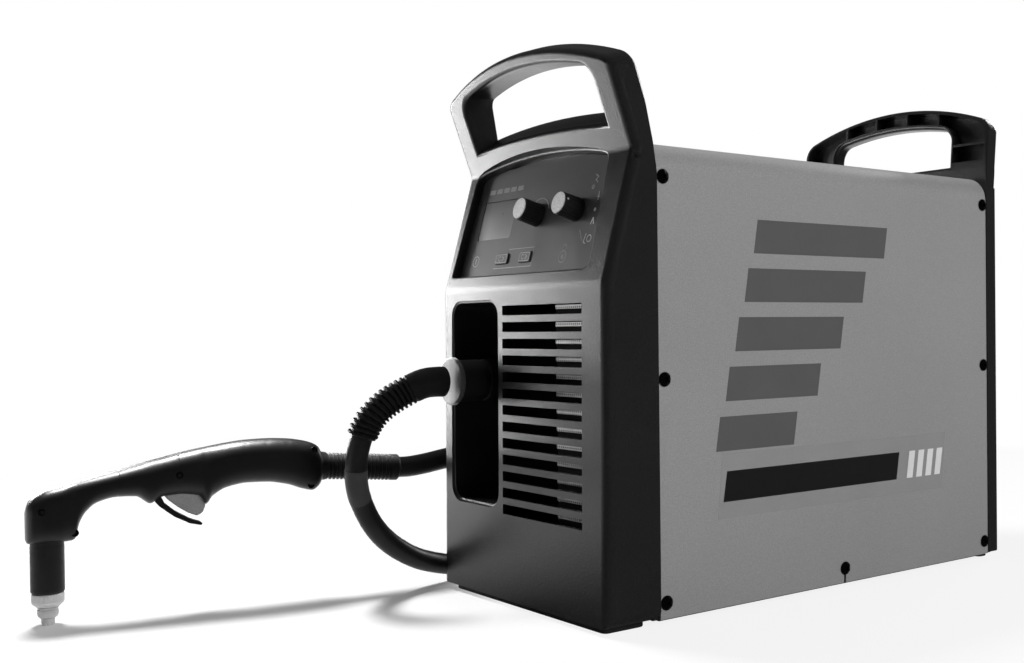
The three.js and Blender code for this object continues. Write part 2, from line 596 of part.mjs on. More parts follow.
add("grille_screen", box(33, inner - 6, FRONT_Y + 18, FRONT_Y + 19.5,
  BEZEL_BOTTOM + BEZEL_WALL + PAN_SHEET + 2 * GAP - 0.2, POCKET.z1), "steel");
add("connector_panel", connectorPanel(), "steel");
add("torch_socket", torchSocket(), "dark");
add("torch_plug", torchPlug(), "light");
add("release_button", lathe([[0, -9], [LATCH.r - 1, -9], [LATCH.r, -8], [LATCH.r, 12], [0, 12]], [0, 1, 0],
  [LATCH.x, pocketBack, LATCH.z], 16), "red");
add("work_socket", workSocket(), "dark");

// ---------------------------------------------------------------- rear fittings
const wallY = REAR_Y - BEZEL_WALL;
const collar = (r, hole, inside, outside, nose) => [[0, inside], [r, inside], [r, -GAP], [hole - GAP, -GAP],
  [hole - GAP, BEZEL_WALL + GAP], [r, BEZEL_WALL + GAP], [r, outside * 0.6], [nose, outside], [0, outside]];
add("cable_gland", cut(lathe(collar(18, GLAND.hole, -8, 26, 12), [0, 1, 0], [GLAND.x, wallY, GLAND.z], 20),
  rod(8, 60, [0, 1, 0], [GLAND.x, wallY - 20, GLAND.z], 14)), "dark");
add("gas_inlet", lathe([[0, -14], [11, -14], [11, -GAP], [INLET.hole - GAP, -GAP], [INLET.hole - GAP, 10],
  [6, 12], [6, 26], [0, 26]],
  [0, 1, 0], [INLET.x, wallY, INLET.z], 16), "brass");
const switchBody = lathe([[0, -30], [5, -30], [5, BEZEL_WALL + GAP], [19, BEZEL_WALL + GAP], [18, 9],
  [0, 9]],
  [0, 1, 0], [SWITCH.x, wallY, SWITCH.z], 24);
add("power_switch", join(switchBody, box(SWITCH.x - 4, SWITCH.x + 4, wallY + 7, wallY + 20, SWITCH.z - 17,
  SWITCH.z + 17)), "dark");
add("switch_body", cut(box(SWITCH.x - 22, SWITCH.x + 22, wallY - 42, wallY - GAP, SWITCH.z - 22,
  SWITCH.z + 22),
  rod(5.4, 32, [0, 1, 0], [SWITCH.x, wallY - 31, SWITCH.z], 16)), "dark");

function fanFrame() {
  const s = FAN.size / 2;
  const y1 = wallY - GAP;
  const frame = cut(box(FAN.x - s, FAN.x + s, y1 - FAN.depth, y1, FAN.z - s, FAN.z + s),
    rod(s - 3, FAN.depth + 20, [0, 1, 0], [FAN.x, y1 - FAN.depth - 10, FAN.z], 28));
  const bars = [box(FAN.x - s + 1, FAN.x + s - 1, y1 - FAN.depth, y1 - FAN.depth + 4, FAN.z - 4, FAN.z + 4),
    box(FAN.x - 4, FAN.x + 4, y1 - FAN.depth, y1 - FAN.depth + 4, FAN.z - s + 1, FAN.z + s - 1),
    rod(17, 6, [0, 1, 0], [FAN.x, y1 - FAN.depth, FAN.z], 16)];
  return cut(join(frame, ...bars), rod(2.6, 20, [0, 1, 0], [FAN.x, y1 - FAN.depth + 2, FAN.z], 12));
}

function fanRotor() {
  const y0 = wallY - GAP - FAN.depth + 6 + GAP;
  const hub = lathe([[0, -3], [2.3, -3], [2.3, 0], [19, 0], [19, 22], [0, 22]], [0, 1, 0],
    [FAN.x, y0, FAN.z], 20);
  const blades = Array.from({ length: 7 }, (_, i) => {
    const blade = new THREE.BoxGeometry(38, 2, 20);
    blade.rotateX(0.6).translate(34, y0 + 11, 0).rotateY((2 * Math.PI * i) / 7);
    return blade.translate(FAN.x, 0, FAN.z);
  });
  return join(hub, ...blades);
}
add("fan_frame", fanFrame(), "dark");
add("fan_rotor", fanRotor(), "dark");

// ---------------------------------------------------------------- inside the cover
const floorZ = PAN_SHEET + GAP;
function heatsink() {
  const fins = Array.from({ length: 9 }, (_, i) => box(-62, -20, -120, 130, 70 + i * 14, 73 + i * 14));
  return join(box(-21, -13, -120, 130, 60, 200), box(-62, -13, -120, 130, 56, 62), ...fins);
}
add("centre_panel", box(-GAP, 1.7, pocketBack + 3, wallY - FAN.depth - 12, floorZ, 330), "steel");
add("heatsink", join(heatsink(), box(-60, -54, -110, 120, floorZ, 57), box(-26, -20, -110, 120, floorZ, 57),
  box(-21, -GAP * 2, -100, -80, 100, 120), box(-21, -GAP * 2, 90, 110, 100, 120)), "steel");
add("power_board", join(box(2, 4, -130, 150, 60, 240), box(4, 30, -60, 60, 70, 100)), "board");
function transformer() {
  const core = box(20, 90, -120, -40, floorZ, 60);
  return join(core, box(34, 76, -130, -30, 12, 52));
}
add("transformer", join(transformer(), box(28, 82, -110, -50, 60, 68)), "copper");
add("output_inductor", join(lathe([[14, 0], [34, 0], [34, 40], [14, 40], [14, 0]], [0, 0, 1],
  [60, 20, floorZ + 6], 20),
  box(22, 98, 0, 40, floorZ, floorZ + 8)), "copper");
add("capacitor_bank", join(box(4.3, 8, -40, 60, 180, 236),
  ...[-20, 10, 40].map((y) => rod(16, 50, [1, 0, 0], [6, y, 208], 14))), "blue");
add("solenoid_valve", join(box(60, 90, 140, 170, floorZ, 40), rod(12, 34, [0, 0, 1], [75, 155, 38], 14)),
  "brass");
add("air_filter", join(rod(17, 62, [0, 0, 1], [INLET.x, wallY - 34, 60], 16),
  box(INLET.x - 12, INLET.x + 12, wallY - 40, wallY - 14 - GAP, 84, 110),
  rod(5, 60, [0, 0, 1], [INLET.x, wallY - 34, floorZ], 10)), "dark");

// ---------------------------------------------------------------- torch
const torch = new THREE.Group();
torch.position.set(TORCH_TIP[0], TORCH_TIP[1], -FOOT_DROP);
torch.rotation.z = (TORCH_TURN * Math.PI) / 180;
group.add(torch);

// Handle outline along the torch: [distance, underside, top, half width, squareness].
const TORCH_RINGS = [
  [-15, 67, 88, 5, 3], [-13.5, 64.5, 94, 10, 3.4], [-9, 64, 100, 14.2, 3.6], [0, 64, 105, 16.6, 3.6],
    [10, 64, 107.3, 16.4, 3.4],
  [17, 64.3, 109, 14.2, 3.2], [20, 66, 109.8, 13.4, 3], [22.5, 76, 110.4, 13, 2.8],
    [27, 85, 111.4, 12.8, 2.6], [36, 92.5, 113.4, 12.8, 2.4],
  [50, 95.6, 116.6, 13.2, 2.3], [64, 95, 120, 14, 2.3], [75, 88.5, 122.8, 14.6, 2.3],
    [84, 93, 124.8, 15, 2.3],
  [98, 94, 128, 15.6, 2.3], [112, 91.5, 130.6, 16.2, 2.3], [116.5, 84, 131.3, 16.4, 2.3],
    [122, 91, 132.2, 16.6, 2.3],
  [134, 97.5, 134, 16.8, 2.3], [150, 100, 135.6, 17, 2.3], [165, 99.6, 135.9, 17, 2.3],
    [182, 96.5, 135, 16.8, 2.3],
  [196, 91.5, 132.6, 16, 2.4], [203, 90, 130.4, 15, 2.6], [208, 93, 127.4, 13.6, 2.6],
    [211, 98, 122, 11.5, 2.4],
];

function torchRing([s, low, top, wide, square], shrink, side, points = 6) {
  const [h, w] = [(top - low) / 2 - shrink, wide - shrink];
  const middle = (top + low) / 2;
  const ring = [];
  for (let i = 0; i < points; i++) {
    const turn = -Math.PI / 2 + (Math.PI * i) / (points - 1);
    const [c, n] = [Math.max(Math.cos(turn), 0), Math.sin(turn)];
    const across = w * Math.pow(c, 2 / square);
    const up = h * Math.sign(n) * Math.pow(Math.abs(n), 2 / square);
    ring.push([s, side * (TORCH_SPLIT + across), middle + up]);
  }
  return side > 0 ? ring : ring.reverse();
}

const NECK = { at: 0.2, r: 12.2, low: 25, top: 92 };
const RELIEF_AT = [204, 0, 110.4];
const RELIEF_AXIS = [68, 0, -5.5];

function torchShell(side) {
  const outer = loft(TORCH_RINGS.map((ring) => torchRing(ring, 0, side)));
  const inside = TORCH_RINGS.filter(([s]) => s > -14 && s < 204);
  const cavity = loft(inside.map((ring) => torchRing(ring, 2.6, side)).map((ring) => ring.map(
    ([s, y, z]) => [s, Math.abs(y) < 0.2 ? y - side * 1 : y, z])));
  const holes = [rod(NECK.r + GAP, 60, [0, 0, 1], [NECK.at, 0, 40], 20),
    rod(RELIEF_R - 3 + GAP, 30, RELIEF_AXIS, [190, 0, 111.5], 16),
    box(76.3, 119.5, -6.6, 6.6, 60, 100)];
  return cut(outer, cavity, ...holes);
}

add("torch_shell_left", torchShell(1), "moulding", torch);
add("torch_shell_right", torchShell(-1), "moulding", torch);

// (along, up) outline drawn out across the torch.
const acrossTorch = (points, wide) => alongY(points, -wide / 2, wide / 2);
add("torch_trigger", acrossTorch([[84.5, 95], [88, 90.5], [95, 84.5], [103, 79], [110, 76], [114.5, 78.5],
  [116.3, 84], [116, 92],
  [113, 99], [98, 101], [86, 100]], 11.5), "grey", torch);
add("trigger_safety", acrossTorch([[78, 90], [81, 86], [92, 77], [104, 70.5], [113, 68.2], [114, 70],
  [105, 73.6], [94, 80.5], [85, 88.5],
  [82.5, 94], [79.5, 96], [78, 94]], 12.6), "dark", torch);
add("neck_sleeve", lathe([[0, NECK.low + GAP], [NECK.r - 0.4, NECK.low + GAP], [NECK.r, NECK.low + 2],
  [NECK.r, NECK.top], [0, NECK.top]],
  [0, 0, 1], [NECK.at, 0, 0], 24), "rubber", torch);
add("retaining_cap", cut(lathe([[0, 14.5], [8.4, 14.5], [9.4, 15.5], [11.4, 17.2], [11.7, 19],
  [11.7, NECK.low], [0, NECK.low]],
  [0, 0, 1], [NECK.at, 0, 0], 24), rod(4.5, 30, [0, 0, 1], [NECK.at, 0, 8], 16)), "steel", torch);
add("torch_shield", cut(lathe([[0, 5.6], [5.6, 5.6], [6.6, 6.6], [7.4, 7.2], [7.6, 14.5 - GAP],
  [0, 14.5 - GAP]], [0, 0, 1], [NECK.at, 0, 0], 20),
  rod(4.5, 30, [0, 0, 1], [NECK.at, 0, -5], 16)), "steel", torch);
add("torch_nozzle", lathe([[0, 0], [3.6, 0], [4.2, 0.8], [4.2, NECK.low - 0.5], [0, NECK.low - 0.5]],
  [0, 0, 1], [NECK.at, 0, 0], 16), "copper", torch);
add("torch_strain_relief", lathe([[0, 0], [RELIEF_R - 3, 0], [RELIEF_R - 3, 8.3], [RELIEF_R - 1, 9],
  [RELIEF_R - 1, 75], [0, 75]], RELIEF_AXIS,
  RELIEF_AT, 16), "rubber", torch);

// ---------------------------------------------------------------- lead
const COIL = { x: -284, y: 91.4, r: 142, inner: 105, height: 74 };
const LOOP_POINTS = [
  [-65.5, -266.5, 178.5], [-65.5, -271, 178.6], [-69.6, -281, 177.6], [-75.4, -292.5, 172.2],
    [-80.5, -307, 163.7],
  [-84.9, -318.3, 153.5], [-89.4, -324.6, 142.2], [-94, -328.6, 125.9], [-98.7, -329, 105.2],
    [-103.6, -325.4, 90.4],
  [-108.5, -319.4, 77.8], [-113.4, -309.2, 61.2], [-118.5, -295.9, 46.4], [-123.6, -277.6, 32.5],
  [-128.8, -255.9, 21.2], [-134, -225.3, 12.1], [-138.5, -190, 7.4], [-141.5, -150, 5.3], [-143, -100, 5.2],
  [-143.5, -50, 5.2], [-143.8, 0, 5.2], [-144, 17.4, 5.2],
];
const TAIL_POINTS = [
  [-152.1, -263.7, 100.4], [-150.4, -254, 100.4], [-147.6, -238, 102.4], [-145.2, -221, 105.4],
    [-144.2, -200, 107.8],
  [-148, -180, 108.4], [-157, -160, 107.2], [-171, -141, 104.8], [-190, -124.5, 101.2], [-215, -110, 96.4],
  [-245, -92.7, 90.2], [-280, -72.5, 84], [-310, -55.2, 80.6], [-335, -40.8, 79.5], [-354, -29.8, 79.5],
];

const RELIEF_LENGTH = 84;           // plug strain relief along the lead
add("plug_strain_relief", leadPiece(LOOP_POINTS, 0, RELIEF_LENGTH, RELIEF_R, 8), "rubber");
add("lead_loop", leadPiece(LOOP_POINTS, RELIEF_LENGTH + 0.8, Infinity, LEAD_R, 22), "rubber");
add("lead_tail", leadPiece(TAIL_POINTS, 0, Infinity, LEAD_R, 16), "rubber");
const ring = [[COIL.inner + 9, 0], [COIL.r, 0], [COIL.r + 9, 8], [COIL.r + 9, COIL.height - 8],
  [COIL.r, COIL.height],
  [COIL.inner + 9, COIL.height], [COIL.inner, COIL.height - 8], [COIL.inner, 8]];
add("lead_coil", lathe([...ring, ring[0]], [0, 0, 1], [COIL.x, COIL.y, -FOOT_DROP], 28), "rubber");

export default group;
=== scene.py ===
"""Plasma cutter power unit with its hand torch: the visible pieces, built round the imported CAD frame."""
import json
import math

import bmesh
import bpy
from mathutils import Matrix, Vector


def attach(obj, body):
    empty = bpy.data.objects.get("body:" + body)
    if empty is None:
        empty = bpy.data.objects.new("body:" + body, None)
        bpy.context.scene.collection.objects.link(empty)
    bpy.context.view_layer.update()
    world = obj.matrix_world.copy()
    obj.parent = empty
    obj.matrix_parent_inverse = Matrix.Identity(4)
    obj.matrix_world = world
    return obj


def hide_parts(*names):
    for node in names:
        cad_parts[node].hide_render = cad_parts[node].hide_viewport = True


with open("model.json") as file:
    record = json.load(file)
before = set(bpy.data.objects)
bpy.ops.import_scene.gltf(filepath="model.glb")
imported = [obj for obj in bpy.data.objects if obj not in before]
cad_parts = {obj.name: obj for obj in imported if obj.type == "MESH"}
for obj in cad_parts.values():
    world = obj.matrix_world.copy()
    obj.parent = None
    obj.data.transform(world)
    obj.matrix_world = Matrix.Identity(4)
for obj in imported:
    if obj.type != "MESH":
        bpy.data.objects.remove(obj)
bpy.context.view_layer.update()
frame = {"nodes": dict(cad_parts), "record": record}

# Lengths below are millimetres in the CAD frame; make() turns them into metres.
MM = 0.001
scene = bpy.context.scene
scene.view_settings.view_transform = "Standard"

# ---------------------------------------------------------------- camera
camera = bpy.data.objects.new("camera", bpy.data.cameras.new("camera"))
scene.collection.objects.link(camera)
scene.camera = camera
camera.data.sensor_width = 36
camera.data.lens = 42.686
camera.data.shift_x, camera.data.shift_y = -0.1330, 0.00875
camera.data.clip_start, camera.data.clip_end = 0.05, 40
RIGHT, UP, BACK = (0.62625, 0.77956, -0.01020), (-0.00223, 0.01487, 0.99989), (0.77962, -0.62615, 0.01105)
camera.matrix_world = Matrix((
    (RIGHT[0], UP[0], BACK[0], 0.82309), (RIGHT[1], UP[1], BACK[1], -0.76204),
    (RIGHT[2], UP[2], BACK[2], 0.22187), (0, 0, 0, 1)))

# ---------------------------------------------------------------- mesh helpers
CLEAN = 1e-5


def make(name, verts, faces, mat=None, body="root", smooth=32, shown=True):
    """A new object from points in millimetres."""
    mesh = bpy.data.meshes.new(name)
    mesh.from_pydata([Vector(v) * MM for v in verts], [], faces)
    mesh.validate()
    obj = bpy.data.objects.new(name, mesh)
    scene.collection.objects.link(obj)
    bm = bmesh.new()
    bm.from_mesh(mesh)
    bmesh.ops.remove_doubles(bm, verts=bm.verts, dist=2e-7)
    bmesh.ops.recalc_face_normals(bm, faces=bm.faces)
    bm.to_mesh(mesh)
    bm.free()
    if shown:
        dress(obj, mat, body, smooth)
    return obj


def dress(obj, mat, body="root", smooth=32):
    """Material, shading and body of a piece."""
    mesh = obj.data
    mesh.materials.clear()
    mesh.materials.append(mat)
    for p in mesh.polygons:
        p.material_index = 0
    mesh.shade_smooth()
    mesh.set_sharp_from_angle(angle=math.radians(smooth))
    if not any(m.type == "WEIGHTED_NORMAL" for m in obj.modifiers):
        weighted = obj.modifiers.new("normals", "WEIGHTED_NORMAL")
        weighted.keep_sharp = True
    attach(obj, body)
    return obj


def soften(obj, width, segments=2, angle=35):
    """Small rounds along a piece's sharp edges, under its weighted normals."""
    bevel = obj.modifiers.new("edges", "BEVEL")
    bevel.width, bevel.segments = width * MM, segments
    bevel.limit_method, bevel.angle_limit = "ANGLE", math.radians(angle)
    bevel.miter_outer = "MITER_ARC"
    obj.modifiers.move(len(obj.modifiers) - 1, 0)
    return obj


def applied(obj):
    graph = bpy.context.evaluated_depsgraph_get()
    mesh = bpy.data.meshes.new_from_object(obj.evaluated_get(graph))
    obj.modifiers.clear()
    old, obj.data = obj.data, mesh
    bpy.data.meshes.remove(old)
    return obj


def tool(points_faces):
    return make("tool", *points_faces, shown=False)


def combine(obj, operation, *shapes):
    """Boolean with solids, each an object that is used up or its (points, faces)."""
    for shape in shapes:
        cutter = tool(shape) if isinstance(shape, tuple) else shape
        mod = obj.modifiers.new("boolean", "BOOLEAN")
        mod.object, mod.operation, mod.solver = cutter, operation, "MANIFOLD"
        applied(obj)
        bpy.data.objects.remove(cutter)
    return obj


def tidy(obj, degrees=0.6):
    bm = bmesh.new()
    bm.from_mesh(obj.data)
    bmesh.ops.remove_doubles(bm, verts=bm.verts, dist=CLEAN)
    bmesh.ops.dissolve_limit(bm, angle_limit=math.radians(degrees), verts=bm.verts, edges=bm.edges)
    bm.to_mesh(obj.data)
    bm.free()
    return obj


def clamp(x):
    return min(max(x, 0), 1)


def loft(rings, caps=True):
    """(points, faces) of a skin over rings of equal point counts."""
    n = len(rings[0])
    verts = [p for ring in rings for p in ring]
    faces = [(k * n + i, k * n + (i + 1) % n, (k + 1) * n + (i + 1) % n, (k + 1) * n + i)
             for k in range(len(rings) - 1) for i in range(n)]
    if caps:
        faces += [tuple(reversed(range(n))), tuple(range((len(rings) - 1) * n, len(rings) * n))]
    return verts, faces


def offset(points, inward):
    """A closed outline moved inward by mitred corners."""
    area = sum(a[0] * b[1] - b[0] * a[1] for a, b in zip(points, points[1:] + points[:1]))
    turn = 1 if area > 0 else -1
    out = []
    for i, (x, y) in enumerate(points):
        (ax, ay), (bx, by) = points[i - 1], points[(i + 1) % len(points)]
        e1, e2 = Vector((x - ax, y - ay)).normalized(), Vector((bx - x, by - y)).normalized()
        n1, n2 = Vector((-e1.y, e1.x)) * turn, Vector((-e2.y, e2.x)) * turn
        shift = (n1 + n2) * (inward / (1 + n1.dot(n2)))
        out.append((x + shift.x, y + shift.y))
    return out


def fillet(points, radii, steps=6):
    """A closed outline with its corners rounded, 0 for a sharp one."""
    out = []
    for i, ((x, y), r) in enumerate(zip(points, radii)):
        if r == 0:
            out.append((x, y))
            continue
        p = Vector((x, y))
        a = (Vector(points[i - 1]) - p).normalized()
        b = (Vector(points[(i + 1) % len(points)]) - p).normalized()
        half = a.angle(b) / 2
        centre = p + (a + b).normalized() * (r / math.sin(half))
        start, end = p + a * (r / math.tan(half)) - centre, p + b * (r / math.tan(half)) - centre
        sweep = start.angle_signed(end)
        for k in range(steps + 1):
            t = -sweep * k / steps
            c, s = math.cos(t), math.sin(t)
            out.append((centre.x + start.x * c - start.y * s, centre.y + start.x * s + start.y * c))
    return out


def arc(cx, cy, r, start, end, n):
    return [(cx + r * math.cos(math.radians(start + (end - start) * i / n)),
             cy + r * math.sin(math.radians(start + (end - start) * i / n))) for i in range(n + 1)]


def round_rect(x0, x1, y0, y1, r, n=6):
    return (arc(x1 - r, y0 + r, r, -90, 0, n) + arc(x1 - r, y1 - r, r, 0, 90, n)
            + arc(x0 + r, y1 - r, r, 90, 180, n) + arc(x0 + r, y0 + r, r, 180, 270, n))


def frame_of(origin, a, b, c):
    """Takes (along a, along b, along c) from the origin to the CAD frame."""
    return lambda p: tuple(origin[i] + a[i] * p[0] + b[i] * p[1] + c[i] * p[2] for i in range(3))


ALONG_Y = frame_of((0, 0, 0), (1, 0, 0), (0, 0, 1), (0, 1, 0))
ALONG_X = frame_of((0, 0, 0), (0, 1, 0), (0, 0, 1), (1, 0, 0))
ALONG_Z = frame_of((0, 0, 0), (1, 0, 0), (0, 1, 0), (0, 0, 1))


def prism(outline, levels, at):
    """(points, faces) of an outline at [depth, inset] levels."""
    return loft([[at((x, y, d)) for x, y in (offset(outline, inset) if inset else outline)]
                 for d, inset in levels])


def rounded_levels(d0, d1, r, n=6):
    """Levels of a prism whose two ends are rounded by r."""
    turn = [math.radians(90 * i / n) for i in range(n + 1)]
    start = [(d0 + r - r * math.sin(t), r - r * math.cos(t)) for t in reversed(turn)]
    return start + [(d1 - (s - d0), inset) for s, inset in reversed(start)]


def block(x0, x1, y0, y1, z0, z1):
    return prism([(x0, z0), (x1, z0), (x1, z1), (x0, z1)], [(y0, 0), (y1, 0)], ALONG_Y)


def basis(axis):
    w = Vector(axis).normalized()
    side = Vector((0, 0, 1)) if abs(w.z) < 0.9 else Vector((1, 0, 0))
    u = side.cross(w).normalized()
    return u, w.cross(u), w


def lathe(profile, axis, at, segments=64, shape=None):
    """(points, faces) of a round body from (radius, distance) pairs; shape() scales the radius."""
    u, v, w = basis(axis)
    centre = Vector(at)
    rings = []
    for r, d in profile:
        ring = []
        for i in range(segments):
            t = 2 * math.pi * i / segments
            k = r * (shape(t, d) if shape else 1)
            ring.append(tuple(centre + w * d + u * (k * math.cos(t)) + v * (k * math.sin(t))))
        rings.append(ring)
    return loft(rings)


def rounded(profile, r=0.6, n=3):
    """A lathe profile with its inner corners rounded."""
    out = [profile[0]]
    for a, p, b in zip(profile, profile[1:], profile[2:]):
        va, vb = Vector(a) - Vector(p), Vector(b) - Vector(p)
        k = min(r, va.length * 0.45, vb.length * 0.45)
        if k < 0.02:
            out.append(p)
            continue
        start, end = Vector(p) + va.normalized() * k, Vector(p) + vb.normalized() * k
        for i in range(n + 1):
            t = i / n
            q = start * (1 - t) ** 2 + Vector(p) * (2 * t * (1 - t)) + end * t ** 2
            out.append((q.x, q.y))
    return out + [profile[-1]]


def mixed(p, q, at_p, at_q, t):
    """The point at t on the line through p at at_p and q at at_q."""
    return p * ((at_q - t) / (at_q - at_p)) + q * ((t - at_p) / (at_q - at_p))


def smooth_path(points, step=4.0):
    """Points every `step` along a centripetal Catmull-Rom curve through the given ones."""
    ends = [Vector(p) for p in points]
    ends = [ends[0] * 2 - ends[1]] + ends + [ends[-1] * 2 - ends[-2]]
    dense = []
    for a, b, c, d in zip(ends, ends[1:], ends[2:], ends[3:]):
        t0, t1 = 0, math.sqrt((b - a).length)
        t2 = t1 + math.sqrt((c - b).length)
        t3 = t2 + math.sqrt((d - c).length)
        count = max(2, int((c - b).length / 1.0))
        for i in range(count):
            t = t1 + (t2 - t1) * i / count
            a1, a2, a3 = mixed(a, b, t0, t1, t), mixed(b, c, t1, t2, t), mixed(c, d, t2, t3, t)
            b1, b2 = mixed(a1, a2, t0, t2, t), mixed(a2, a3, t1, t3, t)
            dense.append(mixed(b1, b2, t1, t2, t))
    dense.append(ends[-2])
    return resample(dense, step)


def resample(dense, step):
    out, travelled, due = [dense[0]], 0.0, step
    for a, b in zip(dense, dense[1:]):
        length = (b - a).length
        while length > 0 and travelled + length >= due:
            out.append(a.lerp(b, (due - travelled) / length))
            due += step
        travelled += length
    if (out[-1] - dense[-1]).length > step * 0.3:
        out.append(dense[-1])
    else:
        out[-1] = dense[-1]
    return out


def sweep(path, radius, sides=20):
    """(points, faces) of a tube on a path; radius(distance, angle)."""
    tangent = (path[1] - path[0]).normalized()
    u, v, _ = basis(tangent)
    rings, travelled = [], 0.0
    for i, p in enumerate(path):
        new = (path[min(i + 1, len(path) - 1)] - path[max(i - 1, 0)]).normalized()
        turn = tangent.rotation_difference(new)
        u, tangent = (turn @ u).normalized(), new
        v = tangent.cross(u)
        if i:
            travelled += (p - path[i - 1]).length
        ring = []
        for k in range(sides):
            t = 2 * math.pi * k / sides
            ring.append(tuple(p + (u * math.cos(t) + v * math.sin(t)) * radius(travelled, t)))
        rings.append(ring)
    return loft(rings)


def part_of(path, start, end, step):
    """The stretch of a path between two distances, resampled."""
    fine = resample(path, 0.5)
    return resample(fine[int(start / 0.5):int(end / 0.5) + 1], step)

# ---------------------------------------------------------------- materials


class Nodes:
    """A Principled material with short calls for its node tree."""

    def __init__(self, name, colour, rough, metallic=0.0, specular=0.5, coat=0.0):
        self.mat = bpy.data.materials.new(name)
        self.mat.use_nodes = True
        self.tree = self.mat.node_tree
        self.shader = self.tree.nodes["Principled BSDF"]
        self.shader.inputs["Metallic"].default_value = metallic
        self.shader.inputs["Specular IOR Level"].default_value = specular
        self.shader.inputs["Coat Weight"].default_value = coat
        self.shader.inputs["Coat Roughness"].default_value = 0.2
        self.colour, self.rough = (*colour, 1), rough
        self.shader.inputs["Base Color"].default_value = self.colour
        self.shader.inputs["Roughness"].default_value = rough
        self.where = self.add("ShaderNodeTexCoord").outputs["Object"]
        self.bumped = None

    def add(self, kind, **values):
        node = self.tree.nodes.new(kind)
        for key, value in values.items():
            if key in node.inputs:
                node.inputs[key].default_value = value
            else:
                setattr(node, key, value)
        return node

    def link(self, a, b):
        self.tree.links.new(a, b)

    def noise(self, size, detail=2.0, rough=0.5, where=None):
        """0 to 1 noise with lumps of `size` millimetres."""
        node = self.add("ShaderNodeTexNoise", Scale=1 / (size * MM), Detail=detail, Roughness=rough)
        self.link(where or self.where, node.inputs["Vector"])
        return node.outputs["Fac"]

    def range(self, value, low, high, to_low, to_high):
        node = self.add("ShaderNodeMapRange",
                        **{"From Min": low, "From Max": high, "To Min": to_low, "To Max": to_high})
        self.link(value, node.inputs["Value"])
        return node.outputs["Result"]

    def math(self, operation, a, b=None):
        node = self.add("ShaderNodeMath", operation=operation)
        for i, x in enumerate((a, b)):
            if x is None:
                continue
            if isinstance(x, (int, float)):
                node.inputs[i].default_value = x
            else:
                self.link(x, node.inputs[i])
        return node.outputs[0]

    def split(self):
        node = self.add("ShaderNodeSeparateXYZ")
        self.link(self.where, node.inputs[0])
        return node.outputs

    def tint(self, value, low, high):
        """Base colour times a share that runs from low to high with value, on top of what is there."""
        before = self.shader.inputs["Base Color"].links
        mix = self.add("ShaderNodeMix", data_type="RGBA", blend_type="MULTIPLY")
        mix.inputs["Factor"].default_value = 1
        if before:
            self.link(before[0].from_socket, mix.inputs["A"])
        else:
            mix.inputs["A"].default_value = self.colour
        self.link(self.range(value, 0.25, 0.75, low, high), mix.inputs["B"])
        self.link(mix.outputs["Result"], self.shader.inputs["Base Color"])
        return self

    def gloss(self, value, spread):
        self.link(self.range(value, 0.25, 0.75, max(self.rough - spread, 0.02), self.rough + spread),
                  self.shader.inputs["Roughness"])
        return self

    def bump(self, height, depth, strength=0.6):
        """Relief of `depth` millimetres."""
        node = self.add("ShaderNodeBump", Strength=strength, Distance=depth * MM)
        self.link(height, node.inputs["Height"])
        if self.bumped:
            self.link(self.bumped, node.inputs["Normal"])
        self.bumped = node.outputs["Normal"]
        self.link(self.bumped, self.shader.inputs["Normal"])
        return self


def grey(level):
    return (level, level, level)


def moulded(name, level, rough=0.5, grain=1.0, depth=0.12, specular=0.35, colour=None):
    """Moulded plastic with a fine etched grain and faint handling marks."""
    n = Nodes(name, colour or grey(level), rough, specular=specular)
    fine = n.noise(grain, 3, 0.65)
    n.tint(fine, 0.6, 1.5).tint(n.noise(38, 3), 0.93, 1.08)
    n.gloss(fine, 0.10).gloss(n.noise(9, 3), 0.02)
    n.bump(fine, depth, 0.8).bump(n.noise(grain * 0.5, 2, 0.6), depth * 0.4, 0.5)
    return n.mat


def rubbery(name, level, rough=0.6, specular=0.3):
    n = Nodes(name, grey(level), rough, specular=specular)
    n.tint(n.noise(14, 4), 0.8, 1.25).gloss(n.noise(5, 3), 0.08)
    n.bump(n.noise(0.5, 2), 0.05, 0.4).bump(n.noise(4.5, 2), 0.12, 0.25)
    return n.mat


def metal(name, colour, rough=0.35, size=0.35, stretch=(1, 1, 40), wear=0.12, metallic=1.0):
    """Metal with fine lines along one axis of `stretch` and duller patches."""
    n = Nodes(name, colour, rough, metallic=metallic)
    mapping = n.add("ShaderNodeMapping")
    mapping.inputs["Scale"].default_value = tuple(1 / s for s in stretch)
    n.link(n.where, mapping.inputs["Vector"])
    lines = n.noise(size, 3, 0.6, mapping.outputs[0])
    n.tint(n.noise(7, 4), 1 - wear, 1 + wear * 0.5).gloss(n.noise(3.5, 4), 0.1)
    n.bump(lines, 0.02, 0.35)
    return n.mat


def painted_sheet(name, level):
    """Satin metallic paint on sheet steel: flake, orange peel and faint rubs."""
    n = Nodes(name, grey(level), 0.44, metallic=0.55, specular=0.5)
    flake = n.noise(0.85, 2, 0.7)
    n.tint(flake, 0.78, 1.24).tint(n.noise(1.9, 3, 0.6), 0.94, 1.06).tint(n.noise(150, 2), 0.97, 1.03)
    n.gloss(n.noise(24, 4), 0.03)
    n.bump(n.noise(1.6, 2), 0.05, 0.35).bump(flake, 0.03, 0.35)
    return n.mat


def printed(name, level, rough=0.5):
    n = Nodes(name, grey(level), rough, specular=0.4)
    n.tint(n.noise(0.8, 2, 0.6), 0.9, 1.1).tint(n.noise(30, 3), 0.96, 1.05).gloss(n.noise(12, 3), 0.05)
    n.bump(n.noise(1.7, 2), 0.03, 0.25)
    return n.mat


